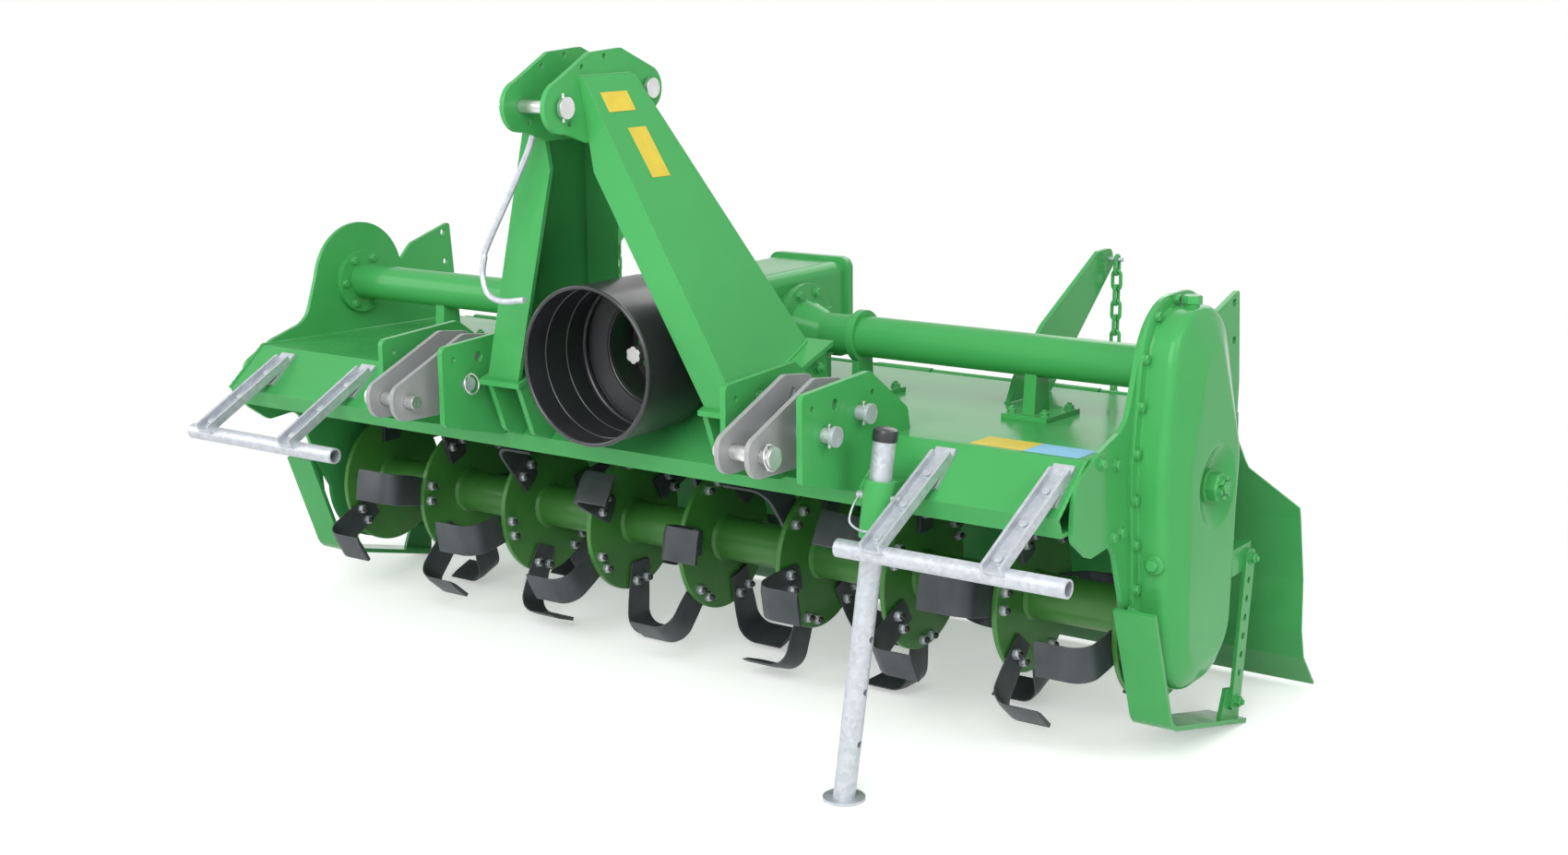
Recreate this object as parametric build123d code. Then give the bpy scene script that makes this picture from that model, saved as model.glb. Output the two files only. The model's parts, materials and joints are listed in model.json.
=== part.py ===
"""Rotavator: a PTO driven, three-point mounted rotary tiller, built as an assembly of named pieces.

Millimetres, +Z up, the tractor side faces -Y, the long axis is X. Inside this file x = 0 is the hitch
centre, y = 0 the rotor axis and z = 0 the floor; the last lines shift everything to the box centre.
"""
import math
import os

from build123d import *

# Driving dimensions
ROTOR_Z = 270.0
TIP_R = 262.0
FLANGE_R = 160.0
FLANGE_T = 12.0
FLANGE_N = 9
FLANGE_X0 = -1170.0
FLANGE_PITCH = 260.0
END_GAP_LEFT = 50.0
END_GAP_RIGHT = 26.0
PLATE_T = 10.0
TUBE_Y = -30.0
TUBE_Z = 766.0
TUBE_R = 42.0
HOOD_FRONT = (-348.0, 652.0)
HOOD_REAR = (302.0, 632.0)
HOOD_T = 7.0
FOLD = (-452.0, 567.0)
LIP = (-435.0, 529.0)
PIN_X = 437.0
LOWER_PIN = (-685.0, 667.0)
LOWER_PIN_R = 14.0
TOP_PIN_R = 12.5
HEAD_X = 44.0
HEAD_T = 10.0
POST_TOP_Z = 1318.0
POST_LOW_Z = 700.0
POST_LOW_X = 310.0
POST_T = 8.0
SHIELD_R = 155.0
SHIELD_FRONT_Y = -605.0
SHAFT_R = 22.0
SPLINE_R = 17.45
FIT = 0.05
SEAT = 0.3
NECK = 0.2
ARM_OFF = 704.0
CHAIN_Y = 498.0
CHAIN_TOP_Z = 886.0
CHAIN_LOW_Z = 262.0
HINGE = (325.0, 621.0)
HINGE_R = 8.0
HOOK_R = 6.0
LEG_R = 21.0
LEG_TOP = (612.0, -497.0, 691.0)
LEG_FOOT = (561.0, -557.0, 0.0)
GUARD_Y = -603.0
GUARD_Z = 498.0
GUARD_LEN = 460.0
GUARD_R = 17.0
SKID_PIVOT = (-223.0, 343.0)
SKID_DROP_DEG = 14.53
SKID_W = 84.0
STUB_R = 30.0
BEARING_R = 72.0
PLATE_R = 160.0
CASE_DEPTH = 84.0
CASE_OVER_TUBE = 124.0
CASE_UNDER_ROTOR = 122.0
CASE_WAIST_Z = 596.0
COVER_LIP_T = 8.0
COVER_LIP_W = 22.0
COVER_EDGE_R = 26.0
GB_SIDE_T = 14.0
GB_SIDE_R = 90.0
NOSE_R = 88.0
NOSE_L = 150.0
RECESS = (20.0, 541.0)
RECESS_R = 82.0
RECESS_D = 26.0
EAR_HOLE_R = 8.5
HITCH_T = 12.0
HITCH_IN_X = 347.0
HITCH_OUT_X = 515.0
CLEVIS_GAP = 56.0
CLEVIS_T = 10.0
PIN_HEAD_T = 8.0
GUARD_START = (579.0, -1171.0)
GUARD_ARMS = ((662.0, 905.0), (-1110.0, -845.0))

# Derived places
FLANGE_X1 = FLANGE_X0 + FLANGE_PITCH * (FLANGE_N - 1)
IN_L = FLANGE_X0 - END_GAP_LEFT
IN_R = FLANGE_X1 + END_GAP_RIGHT
END_MID = (IN_L + IN_R) / 2
MID_X = (FLANGE_X0 + FLANGE_X1) / 2
SLOPE = (HOOD_FRONT[1] - HOOD_REAR[1]) / (HOOD_FRONT[0] - HOOD_REAR[0])
HEAD_OUT = HEAD_X + HEAD_T
TOP_PIN = (-710.0, POST_TOP_Z - 54.0)
REAR_PIN = (-462.0, POST_TOP_Z - 30.0)
POST_TOP_X = HEAD_OUT + 1.0
POST_K = (POST_LOW_X - POST_TOP_X) / (POST_TOP_Z - POST_LOW_Z)


def hood_z(y):
    """Height of the hood's upper skin at y."""
    return HOOD_REAR[1] + SLOPE * (y - HOOD_REAR[0])


def rface(pts):
    """Planar face from (u, v) or (u, v, corner radius) points."""
    n = len(pts)
    heads = []
    tails = []
    arcs = []
    for i in range(n):
        p = pts[i]
        a = pts[i - 1]
        b = pts[(i + 1) % n]
        r = p[2] if len(p) > 2 else 0.0
        if r <= 0:
            heads.append((p[0], p[1]))
            tails.append((p[0], p[1]))
            arcs.append(None)
            continue
        ua = (a[0] - p[0], a[1] - p[1])
        ub = (b[0] - p[0], b[1] - p[1])
        la = math.hypot(*ua)
        lb = math.hypot(*ub)
        ua = (ua[0] / la, ua[1] / la)
        ub = (ub[0] / lb, ub[1] / lb)
        half = math.acos(max(-1.0, min(1.0, ua[0] * ub[0] + ua[1] * ub[1]))) / 2
        d = r / math.tan(half)
        bis = (ua[0] + ub[0], ua[1] + ub[1])
        lbis = math.hypot(*bis)
        c = r / math.sin(half)
        m = ((c - r) * bis[0] / lbis + p[0], (c - r) * bis[1] / lbis + p[1])
        heads.append((p[0] + ua[0] * d, p[1] + ua[1] * d))
        tails.append((p[0] + ub[0] * d, p[1] + ub[1] * d))
        arcs.append(m)
    edges = []
    for i in range(n):
        if arcs[i] is not None:
            edges.append(ThreePointArc(heads[i], arcs[i], tails[i]))
        j = (i + 1) % n
        if math.hypot(heads[j][0] - tails[i][0], heads[j][1] - tails[i][1]) > 1e-6:
            edges.append(Line(tails[i], heads[j]))
    return make_face(edges)


def px(face, x0, x1):
    """Extrude a (y, z) face from x0 to x1."""
    return Pos(x0, 0, 0) * extrude(Plane.YZ * face, amount=x1 - x0)


def pyy(face, y0, y1):
    """Extrude an (x, z) face from y0 to y1."""
    return Pos(0, y1, 0) * extrude(Plane.XZ * face, amount=y1 - y0)


def box(x0, x1, y0, y1, z0, z1):
    """Box between limits."""
    return Pos((x0 + x1) / 2, (y0 + y1) / 2, (z0 + z1) / 2) * Box(x1 - x0, y1 - y0, z1 - z0)


def cx(x0, x1, y, z, r):
    """Cylinder along X."""
    return Pos((x0 + x1) / 2, y, z) * Rot(0, 90, 0) * Cylinder(r, x1 - x0)


def cy(y0, y1, x, z, r):
    """Cylinder along Y."""
    return Pos(x, (y0 + y1) / 2, z) * Rot(90, 0, 0) * Cylinder(r, y1 - y0)


def rod(a, b, r):
    """Cylinder between two points."""
    va = Vector(*a)
    vb = Vector(*b)
    pl = Plane(origin=va, z_dir=(vb - va).normalized())
    return extrude(pl * Circle(r), amount=(vb - va).length)


def strip(pts, t):
    """Closed polygon: a polyline thickened by t to its left side."""
    n = len(pts)
    off = []
    for i in range(n):
        dirs = []
        if i > 0:
            dirs.append((pts[i][0] - pts[i - 1][0], pts[i][1] - pts[i - 1][1]))
        if i < n - 1:
            dirs.append((pts[i + 1][0] - pts[i][0], pts[i + 1][1] - pts[i][1]))
        nrm = []
        for d in dirs:
            ln = math.hypot(*d)
            nrm.append((-d[1] / ln, d[0] / ln))
        if len(nrm) == 1:
            off.append((pts[i][0] + nrm[0][0] * t, pts[i][1] + nrm[0][1] * t))
        else:
            k = t / (1 + nrm[0][0] * nrm[1][0] + nrm[0][1] * nrm[1][1])
            off.append((pts[i][0] + (nrm[0][0] + nrm[1][0]) * k, pts[i][1] + (nrm[0][1] + nrm[1][1]) * k))
    return [(p[0], p[1]) for p in pts] + off[::-1]


def both(shape):
    """A shape with its mirror image across the hitch centre plane."""
    return solids_of(shape, mirror(shape, about=Plane.YZ))


def solids_of(*shapes):
    """One compound of all solids in the shapes."""
    out = []
    for s in shapes:
        out.extend(s.solids())
    return Compound(out)


parts = {}

# Hood and front beam
hood = px(rface([HOOD_REAR, HOOD_FRONT, (HOOD_FRONT[0], HOOD_FRONT[1] - HOOD_T),
                 (HOOD_REAR[0], HOOD_REAR[1] - HOOD_T)]), IN_L, IN_R)
parts["hood_shell"] = hood
beam_pts = [(HOOD_FRONT[0] + 90, LIP[1]), LIP, FOLD, HOOD_FRONT]
parts["front_beam"] = px(rface(strip(beam_pts, -8.0)), IN_L, IN_R) - box(
    IN_L - 1, IN_R + 1, HOOD_FRONT[0], HOOD_FRONT[0] + 60, HOOD_FRONT[1] - 60, HOOD_FRONT[1] + 20)

# End plates
plate_body = [(TUBE_Y - 138, 800), (-208, 690, 60), (-318, 660, 60), (-404, 616, 36), (-411, 519, 36),
              (-342, 471, 30), (-250, 478, 40), (-196, 330, 60), (-PLATE_R, ROTOR_Z), (PLATE_R, ROTOR_Z),
              (230, 430, 60), (300, 600, 40), (304, 690), (288, 878, 8), (150, 838, 40), (100, 790)]
plate_face = rface(plate_body) + Pos(TUBE_Y, TUBE_Z) * Circle(143) + Pos(0, ROTOR_Z) * Circle(PLATE_R)
EAR_HOLES = ((264.0, 854.0), (270.0, 778.0))
for hole in EAR_HOLES:
    plate_face -= Pos(*hole) * Circle(EAR_HOLE_R)
left_plate = px(plate_face, IN_L - PLATE_T, IN_L)
left_plate -= cx(IN_L - 20, IN_L + 5, 0, ROTOR_Z, STUB_R + FIT)
parts["left_side_plate"] = left_plate
right_plate = px(plate_face, IN_R, IN_R + PLATE_T)
right_plate -= cx(IN_R - 5, IN_R + 20, 0, ROTOR_Z, STUB_R + FIT)
parts["case_plate"] = right_plate
hub = cx(IN_L - PLATE_T - 38, IN_L - PLATE_T, 0, ROTOR_Z, BEARING_R)
hub -= cx(IN_L - PLATE_T - 28, IN_L - PLATE_T + 1, 0, ROTOR_Z, STUB_R + FIT)
parts["left_bearing_hub"] = hub

# Chain case
cx0 = IN_R + PLATE_T
cover_x1 = cx0 + CASE_DEPTH


def case_outline(wide):
    """Closed outline of the case, round at both shafts and widest between them, grown by wide."""
    top = TUBE_Z + CASE_OVER_TUBE + wide
    low = ROTOR_Z - CASE_UNDER_ROTOR - wide
    return rface([(TUBE_Y - 100 - wide, top, 110), (TUBE_Y + 100 + wide, top, 110),
                  (168 + wide, CASE_WAIST_Z, 220),
                  (136 + wide, low, 118), (-136 - wide, low, 118), (-176 - wide, CASE_WAIST_Z, 220)])


cover_flange = px(case_outline(COVER_LIP_W), cx0, cx0 + COVER_LIP_T)
cover_body = px(case_outline(0), cx0 + COVER_LIP_T, cover_x1)
outer = cover_body.faces().sort_by(Axis.X)[-1]
cover_body = fillet(outer.edges(), COVER_EDGE_R)
dish_r = (RECESS_R ** 2 + RECESS_D ** 2) / (2 * RECESS_D)
cover_body -= Pos(cover_x1 + dish_r - RECESS_D, *RECESS) * Sphere(dish_r)
cover = cover_flange + cover_body
cover -= cx(cx0 - 1, cx0 + 20, 0, ROTOR_Z, STUB_R + 6)
cover += cx(cx0 + 40, cover_x1 - 14, *RECESS, 32)
parts["case_cover"] = cover

# Cross tube and gearbox
GB_X = 95.0
GB_Y0 = -185.0
GB_Y1 = 150.0
GB_Z0 = 684.0
GB_Z1 = 888.0
NOSE_Y = GB_Y0 - NOSE_L
gear = box(-GB_X, GB_X, GB_Y0, GB_Y1, GB_Z0, GB_Z1)
gear = fillet(gear.edges().filter_by(Axis.Y), 26)
gear += px(rface([(-150, hood_z(-150)), (-150, GB_Z0 + 5), (120, GB_Z0 + 5), (120, hood_z(120))]), -80, 80)
gear += cx(-GB_X - GB_SIDE_T, GB_X + GB_SIDE_T, TUBE_Y, TUBE_Z, GB_SIDE_R)
gear += cy(NOSE_Y, GB_Y0, 0, TUBE_Z, NOSE_R)
gear -= cy(NOSE_Y - 1, GB_Y0 - 30, 0, TUBE_Z, SHAFT_R + FIT)
parts["gearbox"] = gear
lid = pyy(rface([(-GB_X - 10, GB_Z0 - 6, 24), (GB_X + 10, GB_Z0 - 6, 24), (GB_X + 10, GB_Z1 + 8, 24),
                 (-GB_X - 10, GB_Z1 + 8, 24)]), GB_Y1, GB_Y1 + 18)
parts["gearbox_cover"] = lid


def neck(sign):
    """Cone from the gearbox side flange down to the tube."""
    x0 = GB_X + GB_SIDE_T
    prof = rface([(x0, 0), (x0, 98), (x0 + 12, 98), (x0 + 12, 66), (x0 + 66, TUBE_R), (x0 + 66, 0)])
    solid = revolve(Plane.XY * prof, Axis.X)
    if sign < 0:
        solid = mirror(solid, about=Plane.YZ)
    return Pos(0, TUBE_Y, TUBE_Z) * solid


tube_l = cx(IN_L, -GB_X - 40, TUBE_Y, TUBE_Z, TUBE_R) + neck(-1) + cx(IN_L, IN_L + 14, TUBE_Y, TUBE_Z, 76)
tube_r = cx(GB_X + 40, IN_R, TUBE_Y, TUBE_Z, TUBE_R) + neck(1) + cx(IN_R - 14, IN_R, TUBE_Y, TUBE_Z, 76)
parts["cross_tube_left"] = tube_l
parts["cross_tube_right"] = tube_r

# Power input
shield_prof = rface([(SHIELD_R, SHIELD_FRONT_Y), (SHIELD_R, -410), (110, -396), (110, -250), (NOSE_R, -250),
                     (NOSE_R, -330), (105, -330), (105, -400), (SHIELD_R - 5, -415), (SHIELD_R - 5, SHIELD_FRONT_Y)])
shield = revolve(Plane.XY * shield_prof, Axis.Y)
parts["pto_shield"] = Pos(0, 0, TUBE_Z) * shield
shaft = cy(NOSE_Y - 30, GB_Y0 - 32, 0, TUBE_Z, SHAFT_R)
spline = Circle(SPLINE_R)
for i in range(6):
    spline -= Rot(0, 0, 60 * i) * Pos(SPLINE_R, 0) * Rectangle(4.4, 8.0)
shaft += Pos(0, NOSE_Y - 30, TUBE_Z) * extrude(Plane.XZ * spline, amount=95)
parts["pto_shaft"] = shaft

# Mast
def post():
    """Right mast post: a leaning folded channel."""
    def q(y, z):
        return (POST_TOP_X + POST_K * (POST_TOP_Z - z), y, z)
    a = q(-662, POST_TOP_Z)
    b = q(-512, POST_TOP_Z)
    c = q(-262, 792)
    d = q(-538, POST_LOW_Z)
    web = make_face(Polyline(a, b, c, d, close=True))
    solid = extrude(web, amount=POST_T, dir=(1, 0, 0))
    depth = 74.0
    for p0, p1, w in ((a, d, 10.0), (b, c, -10.0)):
        quad = [p0, p1, (p1[0], p1[1] + w, p1[2]), (p0[0], p0[1] + w, p0[2])]
        fl = extrude(make_face(Polyline(*quad, close=True)), amount=depth, dir=(-1, 0, 0))
        solid += fl
    return solid - box(-400, HEAD_OUT, -900, 0, 600, 1500)


def foot_z(y):
    """Height of the sloping joint between a post and its base, along y."""
    return POST_LOW_Z + (y + 538) / 3


def base_plate():
    """Base of the right post: a sloping top flange on two upright webs that stand on the hood."""
    top = px(rface([(-548, foot_z(-548) - 10), (-548, foot_z(-548)), (-250, foot_z(-250)),
                    (-250, foot_z(-250) - 10)]), POST_LOW_X - 84, POST_LOW_X + 24)
    web = rface([(-540, foot_z(-540) - 10), (-256, foot_z(-256) - 10), (-236, hood_z(-236)), HOOD_FRONT, FOLD,
                 (-500, 585, 20)])
    return top + px(web, POST_LOW_X - 4, POST_LOW_X + 8) + px(web, POST_LOW_X - 80, POST_LOW_X - 68)


base = base_plate()
post_r = post() - base
parts["mast_post_right"] = post_r
parts["mast_post_left"] = mirror(post_r, about=Plane.YZ)
parts["mast_base_right"] = base
parts["mast_base_left"] = mirror(base, about=Plane.YZ)
HT = POST_TOP_Z
head = rface([(-742, HT - 18, 10), (-630, HT + 42, 16), (-540, HT + 48, 16), (-446, HT + 9, 10),
              (-452, HT - 68), (-505, HT - 122, 10), (-640, HT - 122, 10), (-702, HT - 102)])
head += Pos(*TOP_PIN) * Circle(48)
head += Pos(*REAR_PIN) * Circle(42)
head -= Pos(*TOP_PIN) * Circle(TOP_PIN_R + SEAT)
head -= Pos(*REAR_PIN) * Circle(TOP_PIN_R + SEAT)
for hole in ((-652, HT + 16), (-588, HT + 34), (-690, HT - 84)):
    head -= Pos(*hole) * RegularPolygon(6, 8)
parts["mast_head_plates"] = both(px(head, HEAD_X, HEAD_OUT))
PIN_END = HEAD_OUT + 6
parts["top_link_pin"] = (cx(-PIN_END - 30, PIN_END, *TOP_PIN, TOP_PIN_R - NECK)
                         + cx(PIN_END, PIN_END + PIN_HEAD_T, *TOP_PIN, 20)
                         + cx(1 - HEAD_X, HEAD_X - 1, *TOP_PIN, TOP_PIN_R))
parts["rear_mast_pin"] = (cx(-PIN_END - 14, PIN_END, *REAR_PIN, TOP_PIN_R)
                          + cx(PIN_END, PIN_END + PIN_HEAD_T, *REAR_PIN, 19))
parts["mast_head_spacer"] = box(-HEAD_X, HEAD_X, -600, -560, HT - 88, HT - 18)

# Lower hitch
HP1 = (-455.0, 712.0)
HP2 = (-568.0, 690.0)
hplate = rface([(-638, 612, 10), (-638, 773, 14), (-416, 783, 20), (-285, 692, 16), (-275, hood_z(-275)),
                HOOD_FRONT, FOLD, (-470, 566), (-596, 600, 10)])
hplate -= Pos(*HP1) * Circle(LOWER_PIN_R + SEAT)
hplate -= Pos(*HP2) * Circle(LOWER_PIN_R + SEAT)
for hole, r in (((-606, 744), 6), ((-533, 740), 11), ((-408, 742), 6)):
    hplate -= Pos(*hole) * RegularPolygon(r, 10)
hitch = solids_of(px(hplate, HITCH_OUT_X, HITCH_OUT_X + HITCH_T), px(hplate, HITCH_IN_X, HITCH_IN_X + HITCH_T))
parts["hitch_plates"] = both(hitch)
clev = rface([(-726, 628, 38), (-726, 696, 26), (-520, 780, 30), (-432, 768, 18), (-424, 660, 18),
              (-480, 622, 24)])
clev -= Pos(*LOWER_PIN) * Circle(LOWER_PIN_R + SEAT)
clev -= Pos(*HP1) * Circle(LOWER_PIN_R + SEAT)
clev -= Pos(*HP2) * Circle(LOWER_PIN_R + SEAT)
clev -= Pos(-500, 738) * SlotCenterToCenter(22, 11, rotation=62)
CLEVIS_IN = CLEVIS_GAP / 2
CLEVIS_OUT = CLEVIS_IN + CLEVIS_T
clevis = solids_of(px(clev, PIN_X - CLEVIS_OUT, PIN_X - CLEVIS_IN),
                   px(clev, PIN_X + CLEVIS_IN, PIN_X + CLEVIS_OUT))
parts["hitch_clevis_right"] = clevis
parts["hitch_clevis_left"] = mirror(clevis, about=Plane.YZ)
parts["lower_link_pins"] = both(
    cx(PIN_X - CLEVIS_OUT - 24, PIN_X + CLEVIS_OUT + 20, *LOWER_PIN, LOWER_PIN_R - NECK)
    + cx(PIN_X - CLEVIS_IN + 1, PIN_X + CLEVIS_IN - 1, *LOWER_PIN, LOWER_PIN_R)
    + cx(PIN_X + CLEVIS_OUT + 20, PIN_X + CLEVIS_OUT + 20 + PIN_HEAD_T, *LOWER_PIN, 20))
HITCH_END = HITCH_OUT_X + HITCH_T + 21
hitch_pair = []
for pin in (HP1, HP2):
    hitch_pair.append(cx(HITCH_IN_X - 9, HITCH_END, *pin, LOWER_PIN_R)
                      + cx(HITCH_END, HITCH_END + PIN_HEAD_T, *pin, 19))
parts["hitch_pins"] = both(solids_of(*hitch_pair))

# Tube clamps, hood brackets and lift arms
def saddle(x, w):
    """Upright foot between the hood and the underside of the tube."""
    s = px(rface([(TUBE_Y - 32, hood_z(TUBE_Y - 32)), (TUBE_Y - 22, TUBE_Z), (TUBE_Y + 22, TUBE_Z),
                  (TUBE_Y + 32, hood_z(TUBE_Y + 32))]), x - w / 2, x + w / 2)
    s += px(rface([(-80, hood_z(-80)), (-80, hood_z(-80) + 10), (60, hood_z(60) + 10), (60, hood_z(60))]),
            x - 50, x + 50)
    return s - cx(x - 80, x + 80, TUBE_Y, TUBE_Z, TUBE_R + SEAT)


def ring(x):
    """Clamp band round the tube on its own foot."""
    band = cx(x - 8, x + 8, TUBE_Y, TUBE_Z, TUBE_R + 12) + saddle(x, 16)
    return band - cx(x - 80, x + 80, TUBE_Y, TUBE_Z, TUBE_R + SEAT)


parts["tube_clamps"] = solids_of(ring(259), ring(-544))
parts["hood_brackets"] = solids_of(saddle(MID_X + 795, 26), saddle(MID_X - 795, 26))
arm_face = rface([(64, hood_z(64)), (92, 690, 60), (205, 782, 60), (452, 908, 18), (512, 908, 18), (524, 872, 14),
                  (330, 712, 80), (240, hood_z(240))])
arm_face -= Pos(CHAIN_Y, CHAIN_TOP_Z) * Circle(4.5 + SEAT)
ARM_R = MID_X + ARM_OFF
ARM_L = MID_X - ARM_OFF
parts["lift_arms"] = solids_of(px(arm_face, ARM_R - 30, ARM_R - 20), px(arm_face, ARM_L + 20, ARM_L + 30))

# Skids, straps
SK = math.radians(SKID_DROP_DEG)


def drop(y, z):
    """Turn a photo-setting skid point about the front bolt to the parked setting."""
    dy = y - SKID_PIVOT[0]
    dz = z - SKID_PIVOT[1]
    return (SKID_PIVOT[0] + dy * math.cos(SK) + dz * math.sin(SK),
            SKID_PIVOT[1] - dy * math.sin(SK) + dz * math.cos(SK))


sole = [drop(303, 125), drop(-71, 125), drop(-223, 343)]
sole_pts = strip(sole, -10.0)
sole_pts[1] = (*sole_pts[1], 52)
sole_pts[4] = (*sole_pts[4], 42)
sole_face = rface(sole_pts)
ear_face = rface([drop(-207, 338), drop(-75, 142), drop(-5, 142), drop(-75, 240), drop(-135, 360)])
tail_face = rface([drop(299, 135), drop(205, 135), drop(215, 195), drop(287, 195)])
strap_low = drop(255, 170)
STRAP_TOP = (strap_low[0] + 46, strap_low[1] + 290)


def skid(x0, web_x):
    """Bent sole with a front ear and a rear ear."""
    s = px(sole_face, x0, x0 + SKID_W)
    s += px(ear_face, web_x, web_x + 9) - px(case_outline(COVER_LIP_W + 4), web_x - 1, web_x + 10)
    s += px(tail_face, web_x + 49, web_x + 58)
    return s


def strap_shape(x0):
    """Flat adjusting strap with a row of holes."""
    a = strap_low
    b = STRAP_TOP
    ln = math.hypot(b[0] - a[0], b[1] - a[1])
    u = ((b[0] - a[0]) / ln, (b[1] - a[1]) / ln)
    nv = (-u[1], u[0])
    w = 22.0
    pts = []
    for s, t in ((-18, -w), (-18, w), (ln + 18, w), (ln + 18, -w)):
        pts.append((a[0] + u[0] * s + nv[0] * t, a[1] + u[1] * s + nv[1] * t, 14))
    f = rface(pts)
    for k in range(1, 7):
        f -= Pos(a[0] + u[0] * (20 + 38 * k), a[1] + u[1] * (20 + 38 * k)) * RegularPolygon(7.5, 8)
    return px(f, x0, x0 + 8)


skid_r = skid(IN_R, cx0)
parts["skid_right"] = skid_r
skid_l = mirror(skid_r, about=Plane.YZ)
parts["skid_left"] = Pos(2 * END_MID, 0, 0) * skid_l
strap_r = strap_shape(cx0 + 58)
parts["skid_straps"] = solids_of(strap_r, Pos(2 * END_MID, 0, 0) * mirror(strap_r, about=Plane.YZ))
bracket = px(rface([(STRAP_TOP[0] - 76, STRAP_TOP[1] - 24), (STRAP_TOP[0] - 76, STRAP_TOP[1] + 30),
                    (STRAP_TOP[0] + 16, STRAP_TOP[1] + 30), (STRAP_TOP[0] + 16, STRAP_TOP[1] - 24)]),
             IN_R + PLATE_T, cx0 + 58)
bracket -= cover
parts["strap_brackets"] = solids_of(bracket, Pos(2 * END_MID, 0, 0) * mirror(bracket, about=Plane.YZ))

# Guards
def guard(x0, arms):
    """Cross tube on two channel arms, each bolted to the beam's sloping face by a foot plate."""
    sl = (FOLD[0] - HOOD_FRONT[0], FOLD[1] - HOOD_FRONT[1])
    sln = math.hypot(*sl)
    sv = (sl[0] / sln, sl[1] / sln)
    sn = (sv[1], -sv[0])
    mid = ((HOOD_FRONT[0] + FOLD[0]) / 2, (HOOD_FRONT[1] + FOLD[1]) / 2)
    start = (mid[0] + sn[0] * 16, mid[1] + sn[1] * 16)
    end = (GUARD_Y, GUARD_Z + GUARD_R + 10)
    dy = end[0] - start[0]
    dz = end[1] - start[1]
    ln = math.hypot(dy, dz)
    u = (dy / ln, dz / ln)
    nv = (u[1], -u[0])
    pts = []
    for a, t in ((-30, -10), (-30, 10), (ln + 26, 10), (ln + 26, -10)):
        pts.append((start[0] + u[0] * a + nv[0] * t, start[1] + u[1] * a + nv[1] * t))
    lift = [(q[0] + nv[0] * 7, q[1] + nv[1] * 7) for q in pts]
    pad = []
    for a, t in ((-48, 0), (-48, 8), (44, 8), (44, 0)):
        pad.append((mid[0] + sv[0] * a + sn[0] * t, mid[1] + sv[1] * a + sn[1] * t))
    below = rface([HOOD_FRONT, FOLD, (HOOD_FRONT[0], FOLD[1])])
    solid = cx(x0, x0 + GUARD_LEN, GUARD_Y, GUARD_Z, GUARD_R)
    for xa in arms:
        solid += px(rface(pts), xa - 21, xa + 21) - px(rface(lift), xa - 15, xa + 15) - px(below, xa - 30, xa + 30)
        solid += px(rface(pad), xa - 21, xa + 21)
    return solid - cx(x0 - 1, x0 + GUARD_LEN + 1, GUARD_Y, GUARD_Z, GUARD_R - 4)


parts["guard_right"] = guard(GUARD_START[0], GUARD_ARMS[0])
parts["guard_left"] = guard(GUARD_START[1], GUARD_ARMS[1])

# Stand
LV = Vector(*LEG_TOP) - Vector(*LEG_FOOT)


def on_leg(z):
    """Point of the leg's axis at height z."""
    k = (z - LEG_FOOT[2]) / LV.Z
    return (LEG_FOOT[0] + LV.X * k, LEG_FOOT[1] + LV.Y * k, z)


leg = rod(on_leg(3), on_leg(LEG_TOP[2]), LEG_R)
leg += Pos(LEG_FOOT[0], LEG_FOOT[1], 3) * Cylinder(40, 6)
leg -= Pos(LEG_FOOT[0], LEG_FOOT[1], -20) * Cylinder(60, 40)
for z in (110, 210, 310):
    hx, hy, hz = on_leg(z)
    leg -= cx(hx - 30, hx + 30, hy, hz, 6.5)
parts["stand_leg"] = leg
bore = rod(on_leg(450), on_leg(740), LEG_R + FIT)
sleeve = rod(on_leg(499), on_leg(606), LEG_R + 8)
sc = on_leg(560)
sleeve += box(sc[0] - 12, sc[0] + 12, sc[1], FOLD[0] + 30, 520, 592)
sleeve -= px(rface([(LIP[0] + 200, LIP[1] - 60), (LIP[0], LIP[1] - 60), LIP, FOLD, HOOD_FRONT,
                    (HOOD_FRONT[0] + 200, HOOD_FRONT[1])]), 500, 700)
parts["stand_sleeve"] = sleeve - bore

# PTO hook rod
hook_x = -HEAD_OUT - HOOK_R - SEAT
hook_pts = [(hook_x, -672, HT - 68), (hook_x, -672, HT - 128), (-190, -656, HT - 320), (-202, -657, HT - 352),
            (-206, -659, HT - 385), (-190, -662, HT - 420), (-150, -666, HT - 430), (-92, -668, HT - 422)]
hook_path = Polyline(*hook_pts)
hook_ring = Plane(origin=hook_path @ 0, z_dir=hook_path % 0) * RegularPolygon(HOOK_R, 8)
parts["pto_hook"] = sweep(hook_ring, path=hook_path, transition=Transition.RIGHT)

# Rotor
drum = cx(IN_L + 6, IN_R - 6, 0, ROTOR_Z, 48)
for i in range(FLANGE_N):
    xf = FLANGE_X0 + FLANGE_PITCH * i
    drum += cx(xf - FLANGE_T / 2, xf + FLANGE_T / 2, 0, ROTOR_Z, FLANGE_R)
drum += cx(IN_L - PLATE_T - 26, IN_L + 6, 0, ROTOR_Z, STUB_R)
drum += cx(IN_R - 6, IN_R + PLATE_T + 14, 0, ROTOR_Z, STUB_R)


TINE_BEND = 44.0
TINE_T = 9.0
TINE_W = 112.0
TINE_ROOT = 96.0


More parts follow.
